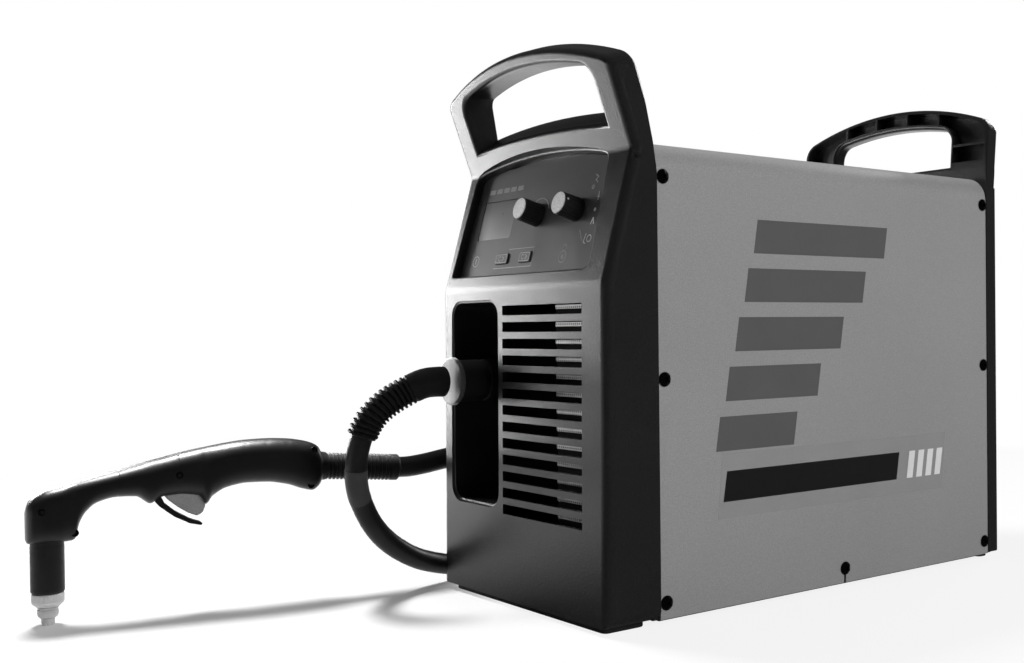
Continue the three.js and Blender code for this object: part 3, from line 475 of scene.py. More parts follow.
def film(name, level):
    """Printed polycarbonate overlay with a fine velvet texture."""
    n = Nodes(name, grey(level), 0.55, specular=0.3)
    n.tint(n.noise(0.6, 2, 0.6), 0.93, 1.07).tint(n.noise(60, 2), 0.95, 1.06).gloss(n.noise(20, 2), 0.04)
    n.bump(n.noise(0.6, 2), 0.02, 0.3)
    return n.mat


def lcd(name):
    """Display behind a window: pale glass with a soft dark edge on its left."""
    n = Nodes(name, grey(0.12), 0.3, specular=0.4, coat=0.1)
    x = n.split()["X"]
    n.tint(n.range(x, -0.092, -0.078, 0.25, 0.75), 0.42, 1.0)
    n.tint(n.noise(16, 2), 0.94, 1.08).gloss(n.noise(8, 2), 0.03)
    n.bump(n.noise(9, 2), 0.01, 0.1)
    return n.mat


def board_green(name):
    n = Nodes(name, (0.03, 0.11, 0.05), 0.5, specular=0.5)
    tracks = n.add("ShaderNodeTexBrick", Scale=1.0,
                   **{"Mortar Size": 0.0004, "Brick Width": 0.011, "Row Height": 0.0032})
    n.link(n.where, tracks.inputs["Vector"])
    n.tint(tracks.outputs["Fac"], 1.0, 0.55).tint(n.noise(9, 4), 0.8, 1.2)
    n.bump(tracks.outputs["Fac"], 0.05, 0.4).gloss(n.noise(3, 2), 0.1)
    return n.mat


def winding(name):
    """Enamelled wire laid in rows."""
    n = Nodes(name, (0.42, 0.17, 0.06), 0.38, metallic=0.8)
    wave = n.add("ShaderNodeTexWave", Scale=230.0, Distortion=0.4, Detail=1.0, bands_direction="Z")
    n.link(n.where, wave.inputs["Vector"])
    n.tint(wave.outputs["Fac"], 0.5, 1.1).tint(n.noise(6, 3), 0.8, 1.2)
    n.bump(wave.outputs["Fac"], 0.4, 0.7).gloss(n.noise(2, 2), 0.08)
    return n.mat


def perforated(name):
    """Pale sheet with a close pattern of round holes."""
    n = Nodes(name, grey(0.30), 0.42, metallic=0.7)
    out = n.split()
    step = 0.0026
    dx = n.math("SUBTRACT", n.math("FRACT", n.math("DIVIDE", out["X"], step)), 0.5)
    dz = n.math("SUBTRACT", n.math("FRACT", n.math("DIVIDE", out["Z"], step)), 0.5)
    far = n.math("SQRT", n.math("ADD", n.math("MULTIPLY", dx, dx), n.math("MULTIPLY", dz, dz)))
    hole = n.range(far, 0.24, 0.32, 0.25, 0.75)
    n.tint(hole, 0.03, 1.0).tint(n.noise(4, 3), 0.85, 1.1)
    n.bump(hole, 0.4, 0.6).gloss(n.noise(3, 2), 0.08)
    return n.mat


MOULDING = moulded("black moulding", 0.007, 0.31, 1.5, 0.15, 0.42)
SHEET_PAINT = painted_sheet("grey cover paint", 0.33)
BLACK_SHEET = moulded("black sheet paint", 0.005, 0.5, 1.4, 0.08, 0.15)
# Painted shade: a near-black sheet, darker than the black moulding, for the screen behind the vents where
# it lies in shade.
SCREEN_PAINTED_SHADE = moulded("screen painted shade", 0.0015, 0.7, 1.4, 0.05, 0.03)
FOOT_RUBBER = rubbery("foot rubber", 0.010, 0.75)
SCREW_BLACK = metal("black oxide screw", (0.02, 0.02, 0.021), 0.38, 0.3, (1, 1, 1), 0.3)
OVERLAY_FILM = film("panel film", 0.030)
BUTTON_FILM = film("button film", 0.038)
INK = printed("pale ink", 0.5)
DIM_INK = printed("dim ink", 0.24)
DISPLAY = lcd("display glass")
KNOB_BLACK = moulded("knob black", 0.008, 0.4, 0.7, 0.05, 0.3)
KNOB_CAP = moulded("knob cap grey", 0.34, 0.45, 1.0, 0.05, 0.4)
SOCKET_BLACK = moulded("black plastic", 0.004, 0.45, 0.9, 0.06, 0.2)


def painted_shade_ring(name):
    """Pale ring of the plug with painted shade: its colour is darkened to near black on its right, the side
    away from the light.
    """
    n = Nodes(name, grey(0.72), 0.5, specular=0.3)
    # Painted shade: the colour falls from full to 0.03 across the ring's right part.
    n.tint(n.range(n.split()["X"], -0.069, -0.056, 0.75, 0.25), 0.03, 1.0)
    n.tint(n.noise(1.5, 3), 0.9, 1.1).bump(n.noise(0.8, 2), 0.05, 0.3)
    return n.mat


PLUG_RING_PAINTED_SHADE = painted_shade_ring("plug ring painted shade")
RED_PLASTIC = moulded("red plastic", 0.2, 0.4, 0.9, 0.04, 0.5, (0.35, 0.02, 0.015))
GREY_PLASTIC = moulded("grey trigger plastic", 0.11, 0.4, 0.8, 0.05, 0.5)
TORCH_PLASTIC = moulded("torch moulding", 0.003, 0.4, 0.8, 0.06, 0.4)
SLEEVE = rubbery("torch sleeve", 0.006, 0.5, 0.25)
LEAD_RUBBER = rubbery("lead rubber", 0.005, 0.42, 0.35)
RELIEF_RUBBER = rubbery("strain relief rubber", 0.004, 0.5, 0.25)
BAND_FILM = rubbery("band sleeve", 0.020, 0.5, 0.4)
BRIGHT = metal("bright turned cap", (0.5, 0.5, 0.5), 0.42, 0.25, (40, 40, 1), 0.14, 0.55)
TURNED = metal("turned shield", (0.4, 0.4, 0.4), 0.4, 0.22, (30, 30, 1), 0.2, 0.55)
ZINC = metal("zinc sheet", (0.50, 0.50, 0.51), 0.45, 0.6, (1, 30, 1), 0.18)
BRASS = metal("brass", (0.62, 0.46, 0.20), 0.32, 0.3, (1, 30, 1), 0.16)
ALUMINIUM = metal("aluminium fins", (0.60, 0.61, 0.62), 0.4, 0.5, (1, 60, 1), 0.12)
BOARD = board_green("circuit board")
COPPER = winding("copper winding")
CAPACITOR = moulded("capacitor sleeve", 0.03, 0.35, 1.2, 0.02, 0.5, (0.02, 0.03, 0.07))
SCREEN = perforated("perforated screen")
FLOOR_TIE = rubbery("hook tie", 0.03, 0.8)
GRAPHIC = printed("cover graphic", 0.055)
BAND_BLACK = printed("cover band black", 0.006)
BAND_PALE = printed("cover band pale", 0.4)
CLEAR_FILM = printed("cover clear film", 0.15)

# ---------------------------------------------------------------- lead
LOOP = smooth_path([
    (-65.5, -266.5, 178.5), (-65.5, -271, 178.6), (-69.6, -281, 177.6), (-75.4, -292.5, 172.2),
    (-80.5, -307, 163.7), (-84.9, -318.3, 153.5), (-89.4, -324.6, 142.2), (-94, -328.6, 125.9),
    (-98.7, -329, 105.2), (-103.6, -325.4, 90.4), (-108.5, -319.4, 77.8), (-113.4, -309.2, 61.2),
    (-118.5, -295.9, 46.4), (-123.6, -277.6, 32.5), (-128.8, -255.9, 21.2), (-134, -225.3, 12.1),
    (-138.5, -190, 7.4), (-141.5, -150, 5.3), (-143, -100, 5.2), (-143.5, -50, 5.2), (-143.8, 0, 5.2),
    (-144, 17.4, 5.2)])
TAIL = smooth_path([
    (-152.1, -263.7, 100.4), (-150.4, -254, 100.4), (-147.6, -238, 102.4), (-145.2, -221, 105.4),
    (-144.2, -200, 107.8), (-148, -180, 108.4), (-157, -160, 107.2), (-171, -141, 104.8),
    (-190, -124.5, 101.2), (-215, -110, 96.4), (-245, -92.7, 90.2), (-280, -72.5, 84),
    (-310, -55.2, 80.6), (-335, -40.8, 79.5), (-354, -29.8, 79.5)])
LEAD_R = 9.0
COIL_X, COIL_Y, OUTER_R, INNER_R = -284, 91.4, 140, 121.6
LEAD_LOW, LAYER, COIL_END_Z = 6.3, 18.2, 79.5
# Radius and height of each turn, wound outward and back up the coil; the last lift is onto the top.
TURNS = [(1, 0), (0, 0), (0, 1), (1, 1), (1, 2), (0, 2), (0, 3), (1, 3), (1, 4)]


def coil_point(degrees):
    centres = [305 + 342 * k for k in range(8)]
    out, layer = TURNS[0]
    for k, centre in enumerate(centres):
        t = clamp((degrees - centre + 35) / 70)
        ease = (1 - math.cos(math.pi * t)) / 2
        out += (TURNS[k + 1][0] - TURNS[k][0]) * ease
        layer += (TURNS[k + 1][1] - TURNS[k][1]) * ease
    r = INNER_R + (OUTER_R - INNER_R) * out
    z = LEAD_LOW + LAYER * layer
    if layer > 3:
        z += (COIL_END_Z - LEAD_LOW - 4 * LAYER) * (layer - 3)
    a = math.radians(degrees)
    return Vector((COIL_X + r * math.cos(a), COIL_Y + r * math.sin(a), z))


RUN_IN = [Vector((-144, y, 5.2 + 1.1 * (y - 17) / 73)) for y in range(22, 90, 5)]
COIL = RUN_IN + [coil_point(2.0 * k) for k in range(1381)]
LEAD_PATH = resample(LOOP + COIL + list(reversed(TAIL))[1:], 5.0)
lead = make("lead", *sweep(LEAD_PATH, lambda s, t: LEAD_R, 18), LEAD_RUBBER, smooth=60)
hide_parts("lead_loop", "lead_coil", "lead_tail")

# Plug strain relief: a smooth cuff that turns into open spiral ribs.
RELIEF_LENGTH = 84.0
RELIEF_PATH = part_of(LOOP, 0.0, RELIEF_LENGTH, 0.45)


def plug_relief_radius(s, t):
    wave = 0.5 + 0.5 * math.cos(2 * math.pi * s / 4.3 - t)
    grow = clamp((s - 25) / 7)
    rib = 10.3 + 2.2 * clamp((wave - 0.35) / 0.3)
    cuff = 12.5 - 0.4 * s / 32
    end = clamp((RELIEF_LENGTH - s) / 0.8)
    return (cuff * (1 - grow) + rib * grow) * (0.93 + 0.07 * end)


plug_relief = make("plug_strain_relief_ribbed", *sweep(RELIEF_PATH, plug_relief_radius, 32),
                   RELIEF_RUBBER, smooth=50)
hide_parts("plug_strain_relief")

band = make("lead_band", *sweep(part_of(LOOP, 112.0, 142.0, 1.5), lambda s, t: LEAD_R + 0.25, 28),
            BAND_FILM, smooth=60)

# Hook-and-loop ties round the coil.
for i, degrees in enumerate((15, 72, 130)):
    a = math.radians(degrees)
    radial = (math.cos(a), math.sin(a), 0)
    along = (-math.sin(a), math.cos(a), 0)
    at = frame_of((COIL_X, COIL_Y, 0), radial, (0, 0, 1), along)
    outer = round_rect(111.1, 150.5, -3.95, 71.2, 9.6, 5)
    inner = offset(outer, 1.2)
    rings = [[at((x, z, w)) for x, z in line] for line, w in
             ((inner, -10), (outer, -10), (outer, 10), (inner, 10), (inner, -10))]
    strap = make(f"coil_tie_{i + 1}", *loft(rings, caps=False), FLOOR_TIE, smooth=50)
    soften(strap, 0.4, 1)

# ---------------------------------------------------------------- shared sizes
# Points of the front's profile and of the rear's are (y, z).
HALF, INSIDE, COVER_HALF = 120, 116, 119
COVER_TOP, COVER_LOW, COVER_RADIUS, SHEET = 362, 1.6, 22, 1.5
TONGUE_OUT, TONGUE_IN = 1.8, 4.8     # the bezels' tongues, set in from the cover's outside
FRONT_Y, REAR_Y, FRONT_SEAM, REAR_SEAM = -237.9, 236, -187.3, 219.2
LOW, KINK = (-235.5, 254.7), (-207.4, 355.2)
BOTTOM, WALL = 1.5, 4
FRONT_LEAN, REAR_LEAN = 0.37, 0.1
REAR_KINK = 372
ARCH_R, HANDLE_TOP = 314, 89.5
SLOT_HEIGHT = 8.1
SLOTS = [71 + i * 13.45 for i in range(13)]
SLOT_X = (-21.7, 89)
POCKET_LIP = 3
POCKET_X, POCKET_Z = (-101.7, -30), (76.5, 244)
RECESS_X, RECESS_HALF_LOW, RECESS_HALF_TOP = -7.9, 99.8, 95.4
RECESS_LOW, RECESS_TOP, RECESS_ARCH = 12.3, 104, 9.5
WINDOW = (-91.8, -40.2, 46.7, 81.3)
KNOB_UP = 63
ADJUSTMENT_X, MODE_X = -3.4, 51.7
BUTTON_UP = 28
BUTTONS = (("left_button", -43.5, 19), ("right_button", -8.5, 17))
SLOPE_UP, SLOPE_OUT = (0, 0.26929, 0.96311), (0, -0.96311, 0.26929)
ON_SLOPE = frame_of((0, *LOW), (1, 0, 0), SLOPE_UP, SLOPE_OUT)


def handle_frame(y, z, lean):
    length, sign = math.hypot(1, lean), math.copysign(1, y)
    up = (0, sign * lean / length, 1 / length)
    return frame_of((0, y, z), (-sign, 0, 0), up, (0, sign * up[2], -sign * up[1]))


ON_FRONT_HANDLE = handle_frame(*KINK, FRONT_LEAN)
ON_REAR_HANDLE = handle_frame(REAR_Y, REAR_KINK, REAR_LEAN)


def arch(half, low, top, radius, corner, inset=0.0, rise=0.0):
    """Outline with a shallow arched top whose corners run into it smoothly."""
    cx = half - corner
    cz = top - radius + math.sqrt((radius - corner) ** 2 - cx ** 2)
    turn = math.degrees(math.atan2(cz - (top - radius), cx))
    r, foot, h = corner - inset, low + inset, half - inset
    points = [(h * (i / 8 - 1), foot + rise * (1 - (i / 8 - 1) ** 2)) for i in range(17)]
    points += arc(cx, cz, r, 0, turn, 9)
    points += arc(0, top - radius, radius - inset, turn, 180 - turn, 26)[1:]
    return points + [(-x, z) for x, z in arc(cx, cz, r, 0, turn, 9)[:-1]][::-1]


def arch_prism(at, outline, levels):
    return loft([[at((x, z, d)) for x, z in arch(*outline[:5], inset=inset, rise=outline[5])]
                 for d, inset in levels])


def edge(d0, i0, d1, i1, n=5):
    """Quarter-round run of [depth, inset] levels between two."""
    return [(d0 + (d1 - d0) * math.sin(math.radians(90 * k / n)),
             i0 + (i1 - i0) * (1 - math.cos(math.radians(90 * k / n)))) for k in range(n + 1)]


OUTER = (120.5, -60, HANDLE_TOP, ARCH_R, 18, 0)
GRIP = (93, 20.2, 78, 330, 16, 4.3)
OUTER_LEVELS = [(-40, 7), *reversed(edge(-19, 0.3, -24, 5)), *edge(-6, 0, 0, 4.5), (12, 4.5)]


REAR_GRIP_LEVELS = [(-60, -3), (-15, -3), *reversed(edge(-11, 0, -15, -3)), *edge(-5, 0, 0, -4), (14, -4)]


# ---------------------------------------------------------------- front bezel
def recess(inset, hood=24):
    """Outline of the control recess on the slope, grown by -inset; its top edge is the arched hood."""
    half_low, half_top, r = RECESS_HALF_LOW - inset, RECESS_HALF_TOP - inset, 7
    low, top = RECESS_LOW + inset, RECESS_TOP - inset
    points = arc(-half_low + 2, low + 2, 2, 180, 270, 4)
    points += arc(half_low - r, low + r, r, 270, 360, 6)
    points += arc(half_top - r, top - r, r, 0, 80, 6)
    along = [0.88 - 1.76 * i / hood for i in range(hood + 1)]
    points += [(s * half_top, top + RECESS_ARCH * (1 - s * s) - 0.4) for s in along]
    points += arc(-half_top + r, top - r, r, 100, 180, 6)
    return [(x + RECESS_X, y) for x, y in points]


def cover_section(inset, steps=10):
    h, top, r = COVER_HALF - inset, COVER_TOP - inset, COVER_RADIUS - inset
    return [(h, COVER_LOW), *arc(h - r, top - r, r, 0, 90, steps),
            *arc(r - h, top - r, r, 90, 180, steps), (-h, COVER_LOW)]


def shell_section(outer, inner):
    return cover_section(outer) + cover_section(inner)[::-1]


def front_bezel():
    profile = fillet([(FRONT_Y, BOTTOM), (FRONT_SEAM + 12, BOTTOM), (FRONT_SEAM + 12, 360), (-196, 450),
                      (KINK[0] - FRONT_LEAN * 95, KINK[1] + 95), KINK, LOW], [0, 0, 0, 0, 0, 9, 26])
    body = make("front_bezel_shell", *prism(profile, rounded_levels(-HALF, HALF, 8, 8),
                                            ALONG_X), shown=False)
    trim = [(-300, -10), (FRONT_SEAM, -10), (FRONT_SEAM, 337), (-190.8, 360), (-197, 386), (-201.9, 409),
            (-210.6, 450), (-300, 450)]
    combine(body, "INTERSECT", prism(fillet(trim, [0, 0, 30, 40, 60, 60, 0, 0]),
                                     [(-122, 0), (122, 0)], ALONG_X))
    above = tool(block(-130, 130, -300, -120, KINK[1] - 8, 470))
    combine(above, "DIFFERENCE", arch_prism(ON_FRONT_HANDLE, OUTER, OUTER_LEVELS))
    combine(body, "DIFFERENCE", above)

    hollow = [(FRONT_Y + WALL, BOTTOM + WALL), (-160, BOTTOM + WALL), (-160, 346),
              (KINK[0] + WALL + 3, 346), (LOW[0] + WALL, LOW[1])]
    # The hand opening narrows towards the back.
    grip = arch_prism(ON_FRONT_HANDLE, GRIP,
                      [(-60, 8), (-27, 8), (-9, 1.4), *edge(-5, 0.6, 0, -4), (14, -4)])
    combine(body, "DIFFERENCE", prism(hollow, [(-INSIDE, 0), (INSIDE, 0)], ALONG_X), grip)

    tray = tool(prism(recess(-3.5), [(-12, 0), (-1, 0)], ON_SLOPE))
    combine(tray, "INTERSECT", block(-117, 117, -300, -120, 200, 352))
    mouth = [(-9, 0), *[(-2.2 + 2.2 * math.sin(math.radians(a)), -1.6 * (1 - math.cos(math.radians(a))))
                        for a in range(0, 91, 18)], (30, -1.6)]
    combine(body, "UNION", tray)
    combine(body, "DIFFERENCE", prism(recess(0), mouth, ON_SLOPE),
            prism(recess(5), [(-40, 0), (5, 0)], ON_SLOPE))

    (x0, x1), (z0, z1) = POCKET_X, POCKET_Z
    outside = round_rect(x0 - POCKET_LIP, x1 + POCKET_LIP, z0 - POCKET_LIP, z1 + POCKET_LIP, 15)
    combine(body, "UNION", prism(outside, [(FRONT_Y + 3, 0), (FRONT_Y + 62, 0)], ALONG_Y))
    lip = [(-270, -2.4), (FRONT_Y, -2.4),
           *[(FRONT_Y + 3.2 * math.sin(math.radians(a)), -2.4 * math.cos(math.radians(a)))
                                            for a in range(10, 91, 16)], (-150, 0)]
    combine(body, "DIFFERENCE", prism(round_rect(x0, x1, z0, z1, 12), lip, ALONG_Y))
    for z in SLOTS:
        slot = round_rect(*SLOT_X, z, z + SLOT_HEIGHT, 0.8, 2)
        flare = [(-260, -0.7), (FRONT_Y, -0.7), (FRONT_Y + 0.7, 0), (-225, 0)]
        combine(body, "DIFFERENCE", prism(slot, flare, ALONG_Y))

    tongue = tool(prism(shell_section(TONGUE_OUT, TONGUE_IN),
                        [(FRONT_SEAM - 6, 0), (FRONT_SEAM + 17, 0)], ALONG_Y))
    combine(body, "UNION", tongue)
    return dress(tidy(body), MOULDING, smooth=28)


bezel = front_bezel()
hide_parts("front_bezel")


# ---------------------------------------------------------------- rear bezel
def rear_bezel():
    profile = fillet([(REAR_SEAM - 12, BOTTOM), (REAR_Y, BOTTOM), (REAR_Y, REAR_KINK), (REAR_Y + 8, 452),
                      (REAR_SEAM - 8, 452)], [0, 0, 12, 0, 0])
    body = make("rear_bezel_shell", *prism(profile, rounded_levels(-HALF, HALF, 5, 6),
                                           ALONG_X), shown=False)
    trim = [(REAR_SEAM, -10), (260, -10), (260, 460), (REAR_SEAM + 8, 460), (REAR_SEAM, REAR_KINK)]
    combine(body, "INTERSECT", prism(trim, [(-122, 0), (122, 0)], ALONG_X))
    top = HANDLE_TOP * 0.94 + KINK[1] - REAR_KINK
    above = tool(block(-130, 130, 150, 290, 352, 475))
    outer = (120.5, -60, top, ARCH_R, 18, 0)
    levels = [(-40, 4), (-17, 4), *reversed(edge(-13.5, 0, -16.5, 2.5)), *edge(-6, 0, 0, 4.5), (12, 4.5)]
    combine(above, "DIFFERENCE", arch_prism(ON_REAR_HANDLE, outer, levels))
    combine(body, "DIFFERENCE", above, block(-INSIDE, INSIDE, 200, REAR_Y - WALL, BOTTOM + WALL, 348))
    grip = (75, 3, top - 20, 330, 14, 0)
    combine(body, "DIFFERENCE", arch_prism(ON_REAR_HANDLE, grip, REAR_GRIP_LEVELS))

    # Handle channel, open towards the cover and split into cells by ribs.
    cells = tool(arch_prism(ON_REAR_HANDLE, (HALF, 2, top, ARCH_R, 18, 0), [(-40, 4), (-4, 4)]))
    core = tool(arch_prism(ON_REAR_HANDLE, (75, -2, top - 20, 330, 14, 0), [(-60, -4.5), (10, -4.5)]))
    combine(cells, "DIFFERENCE", core, *[block(x - 1.2, x + 1.2, 170, 290, 378, 475)
                                         for x in (-60, -20, 20, 60)],
            *[block(s * 100 - 25, s * 100 + 25, 170, 290, 395, 397.4) for s in (-1, 1)])
    combine(body, "DIFFERENCE", cells)

    for i in range(9):
        z = 98 + i * 12
        combine(body, "DIFFERENCE", prism(round_rect(-94, 14, z, z + 6, 1.2, 2),
                                          [(225, 0), (245, 0)], ALONG_Y))
    for x, z, r in ((70, 300, 13), (-55, 300, 9), (75, 90, 8)):
        combine(body, "DIFFERENCE", lathe([(r, 0), (r, 30)], (0, 1, 0), (x, 220, z), 40))
    combine(body, "UNION", prism(shell_section(TONGUE_OUT, TONGUE_IN),
                                 [(REAR_SEAM - 17, 0), (REAR_SEAM + 6, 0)], ALONG_Y))
    return dress(tidy(body), MOULDING, smooth=28)


rear = rear_bezel()
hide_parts("rear_bezel")

# ---------------------------------------------------------------- cover
SCREWS = [(side, y, z) for side in (-1, 1) for y, z in
          ((-181.4, 334.9), (-181.4, 182.4), (-181.4, 14), (213.3, 334.9), (213.3, 182.4),
           (213.3, 14), (16.9, 14))]


def cover():
    body = make("cover_sheet", *prism(shell_section(0, SHEET), [(-187.0, 0), (218.9, 0)],
                                      ALONG_Y), shown=False)
    for side, y, z in SCREWS:
        combine(body, "DIFFERENCE", lathe([(2.6, 0), (2.6, 12)], (side, 0, 0), (side * 112, y, z), 16))
    for s in (-1, 1):
        combine(body, "DIFFERENCE", block(s * COVER_HALF - 4, s * COVER_HALF + 4, 15.7, 18.1, -5, 14))
    return dress(tidy(body, 0.2), SHEET_PAINT, smooth=25)


sheet = soften(cover(), 0.35, 2)
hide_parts("cover")


def flat_shapes(outlines, low, high, at):
    """(points, faces) of outlines drawn on one plane, as thin plates between two depths."""
    verts, faces = [], []
    for outline in outlines:
        v, f = prism(outline, [(low, 0), (high, 0)], at)
        faces += [tuple(i + len(verts) for i in face) for face in f]
        verts += v
    return verts, faces


def cover_print(name, outlines, mat, proud=0.12):
    """Flat printed shapes on the cover's right side, each drawn in (y, z)."""
    return make(name, *flat_shapes(outlines, COVER_HALF + 0.02, COVER_HALF + proud, ALONG_X), mat)


def slanted(y0, y1, z0, z1, lean=0.17):
    return [(y0 + lean * (z0 - 76), z0), (y1 + lean * (z0 - 76), z0), (y1 + lean * (z1 - 76), z1),
            (y0 + lean * (z1 - 76), z1)]


cover_print("cover_film", [slanted(-128, 150, 71, 122, 0.1)], CLEAR_FILM, 0.06)
# A plain rising pattern of bars: decoration only.
cover_print("cover_graphic", [slanted(-138 + 4 * i, -52 + 22 * i, 124 + 39.0 * i, 151 + 39.0 * i, 0.17)
                              for i in range(5)], GRAPHIC)
cover_print("cover_band", [slanted(-124, 84, 84, 108, 0.17)], BAND_BLACK)
cover_print("cover_band_end", [slanted(98 + 13 * i, 106 + 13 * i, 84, 108, 0.17)
                               for i in range(4)], BAND_PALE)

# ---------------------------------------------------------------- CAD pieces kept in shape
BODY_OF = {node: body for body, members in frame["record"]["behaviour"]["bodies"].items()
           for node in members}


def refined(node, mat, width=0.5, segments=2, smooth=30):
    """A piece of the CAD node's own shape with its edges eased, standing for the node."""
    obj = bpy.data.objects.new(node + "_piece", frame["nodes"][node].data.copy())
    scene.collection.objects.link(obj)
    for name in [a.name for a in obj.data.attributes if a.name == "custom_normal"]:
        obj.data.attributes.remove(obj.data.attributes[name])
    tidy(obj, 0.8)
    dress(obj, mat, BODY_OF[node], smooth)
    if width:
        soften(obj, width, segments)
    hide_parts(node)
    return obj


refined("base_pan", BLACK_SHEET, 0.4)
refined("front_foot", FOOT_RUBBER, 0.8)
refined("rear_foot", FOOT_RUBBER, 0.8)
# The screen behind the vents is painted near black as painted shade; the strips below carry its own pale
# perforated sheet behind each slot.
refined("grille_screen", SCREEN_PAINTED_SHADE, 0)
# Perforated strips behind the slots, each a little lower against its slot than the one above.
STRIP_RISE, STRIP_DROP, STRIP_TOP = 4.4, 0.019, 232
for i, z in enumerate(SLOTS):
    strip_z = z + STRIP_RISE - STRIP_DROP * (STRIP_TOP - z)
    make(f"grille_strip_{i + 1:02d}", *block(34, 109, -221.4, -220.2, strip_z, strip_z + 3.2), SCREEN)
refined("connector_panel", ZINC, 0.3)
refined("torch_socket", SOCKET_BLACK, 0.5)
refined("release_button", RED_PLASTIC, 0.6)
refined("work_socket", SOCKET_BLACK, 0.6)
refined("control_board", BOARD, 0.2)
refined("display_window", DISPLAY, 0.3)
refined("left_button", BUTTON_FILM, 0.4)
refined("right_button", BUTTON_FILM, 0.4)
refined("cable_gland", SOCKET_BLACK, 0.8)
refined("gas_inlet", BRASS, 0.5)
refined("power_switch", SOCKET_BLACK, 1.0, 3)
refined("switch_body", SOCKET_BLACK, 0.6)
refined("fan_frame", SOCKET_BLACK, 0.5)
refined("fan_rotor", SOCKET_BLACK, 0.4)
refined("centre_panel", ZINC, 0.3)
refined("heatsink", ALUMINIUM, 0.3)
refined("power_board", BOARD, 0.3)
refined("transformer", COPPER, 1.2)
refined("output_inductor", COPPER, 1.2)
refined("capacitor_bank", CAPACITOR, 0.8)
refined("solenoid_valve", BRASS, 0.8)
refined("air_filter", SOCKET_BLACK, 0.8)
refined("torch_trigger", GREY_PLASTIC, 1.6, 4)
refined("trigger_safety", SOCKET_BLACK, 0.7, 3)

# ---------------------------------------------------------------- cover screws
for i, (side, y, z) in enumerate(SCREWS):
    dome = [(0, -7.5), (1.9, -7.5), (2, 0.3), (5.0, 0.3), (5.6, 0.55),
            *[(5.6 * math.cos(math.radians(a)), 0.9 + 2.0 * math.sin(math.radians(a)))
            for a in range(0, 66, 8)], (2.05, 2.78)]
    socket = [(1.9, 2.6), (1.75, 1.3), (0, 1.1)]
    head = make(f"cover_screw_{i + 1:02d}_head", *lathe(
        dome + socket, (side, 0, 0), (side * COVER_HALF, y, z), 48,
        lambda t, d: 1 - 0.14 * math.cos(3 * t) ** 2 if 1.0 < d < 2.7 else 1), SCREW_BLACK)
    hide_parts(f"cover_screw_{i + 1:02d}")

# ---------------------------------------------------------------- control panel
PANEL_OUT = -7.0


def on_panel(outlines, low=PANEL_OUT + 0.02, high=PANEL_OUT + 0.09):
    """(points, faces) of flat shapes drawn in (x, up) on the overlay."""
    return flat_shapes(outlines, low, high, ON_SLOPE)


def stroke(points, width=0.6):
    """Thin bars along a line of points."""
    bars = []
    for a, b in zip(points, points[1:]):
        along = (Vector(b) - Vector(a)).normalized()
        side = Vector((-along.y, along.x)) * (width / 2)
        a, b = Vector(a) - along * width * 0.3, Vector(b) + along * width * 0.3
        bars.append([tuple(a - side), tuple(b - side), tuple(b + side), tuple(a + side)])
    return bars


def ring_stroke(cx, cy, r, width=0.6, start=0, end=360, n=28):
    return stroke(arc(cx, cy, r, start, end, n), width)


def overlay():
    body = make("control_overlay_film", *prism(recess(0.4), [(PANEL_OUT - 1.7, 0), (PANEL_OUT, 0)],
                                               ON_SLOPE), shown=False)
    combine(body, "INTERSECT", block(-116, 116, -300, -120, 200, 358))
    for x in (ADJUSTMENT_X, MODE_X):
        combine(body, "DIFFERENCE", prism(arc(x, KNOB_UP, 3.6, 0, 350, 30), [(-20, 0), (5, 0)], ON_SLOPE))
    for _, x, w in BUTTONS:
        outline = round_rect(x - w / 2 - 0.3, x + w / 2 + 0.3, BUTTON_UP - 4.8, BUTTON_UP + 4.8, 1.6, 4)
        combine(body, "DIFFERENCE", prism(outline, [(-20, 0), (5, 0)], ON_SLOPE))
    combine(body, "DIFFERENCE", prism(round_rect(*WINDOW, 2.2, 4), [(-20, 0), (5, 0)], ON_SLOPE))
    return dress(tidy(body), OVERLAY_FILM)


film_sheet = soften(overlay(), 0.25, 2)
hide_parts("control_overlay")

marks = ring_stroke(ADJUSTMENT_X, KNOB_UP, 14.6, 0.7, 20, 165)
marks += ring_stroke(-86, 27.7, 4.6, 0.6) + stroke([(-86, 25.6), (-86, 29.8)], 0.8)
marks += ring_stroke(44.8, 25.6, 4.8, 0.6) + ring_stroke(44.8, 25.2, 1.0, 1.4, n=12) + ring_stroke(45.6,
        32.6, 2.6, 0.5, -30, 210)
marks += stroke([(-55, 20), (2, 20)], 0.5) + stroke([(-36, 36), (2, 36)],
                                                    0.4) + stroke([(2, 36), (2, 20)], 0.4)
marks += stroke([(61, 46), (66.5, 37)], 0.7)
make("panel_marks", *on_panel(marks), DIM_INK)

icons = stroke([(67.5, 90.5), (71, 88.6), (68.2, 86.4), (71.4, 84)],
               0.9) + ring_stroke(66.4, 80.6, 1.3, 1.2, n=10)
icons += stroke([(76.4, 76), (76.4, 69.5)], 0.9) + stroke([(75, 72), (77.8, 72)], 0.7)
icons += ring_stroke(75.3, 61.5, 0.9, 1.2, n=10) + stroke([(73.6, 50), (75.5, 55), (77.2, 50)], 0.9)
icons += stroke([(70.6, 42.4), (69.0, 35.6), (71.6, 34.6)], 0.9) + ring_stroke(75.6, 38.4, 2.7, 0.8, n=18)
make("panel_icons", *on_panel(icons), INK)
make("panel_title_bars", *on_panel([round_rect(-88 + 11 * i, -79.5 + 11 * i, 88.2, 92.4, 0.5, 2)
                                    for i in range(5)]), DIM_INK)

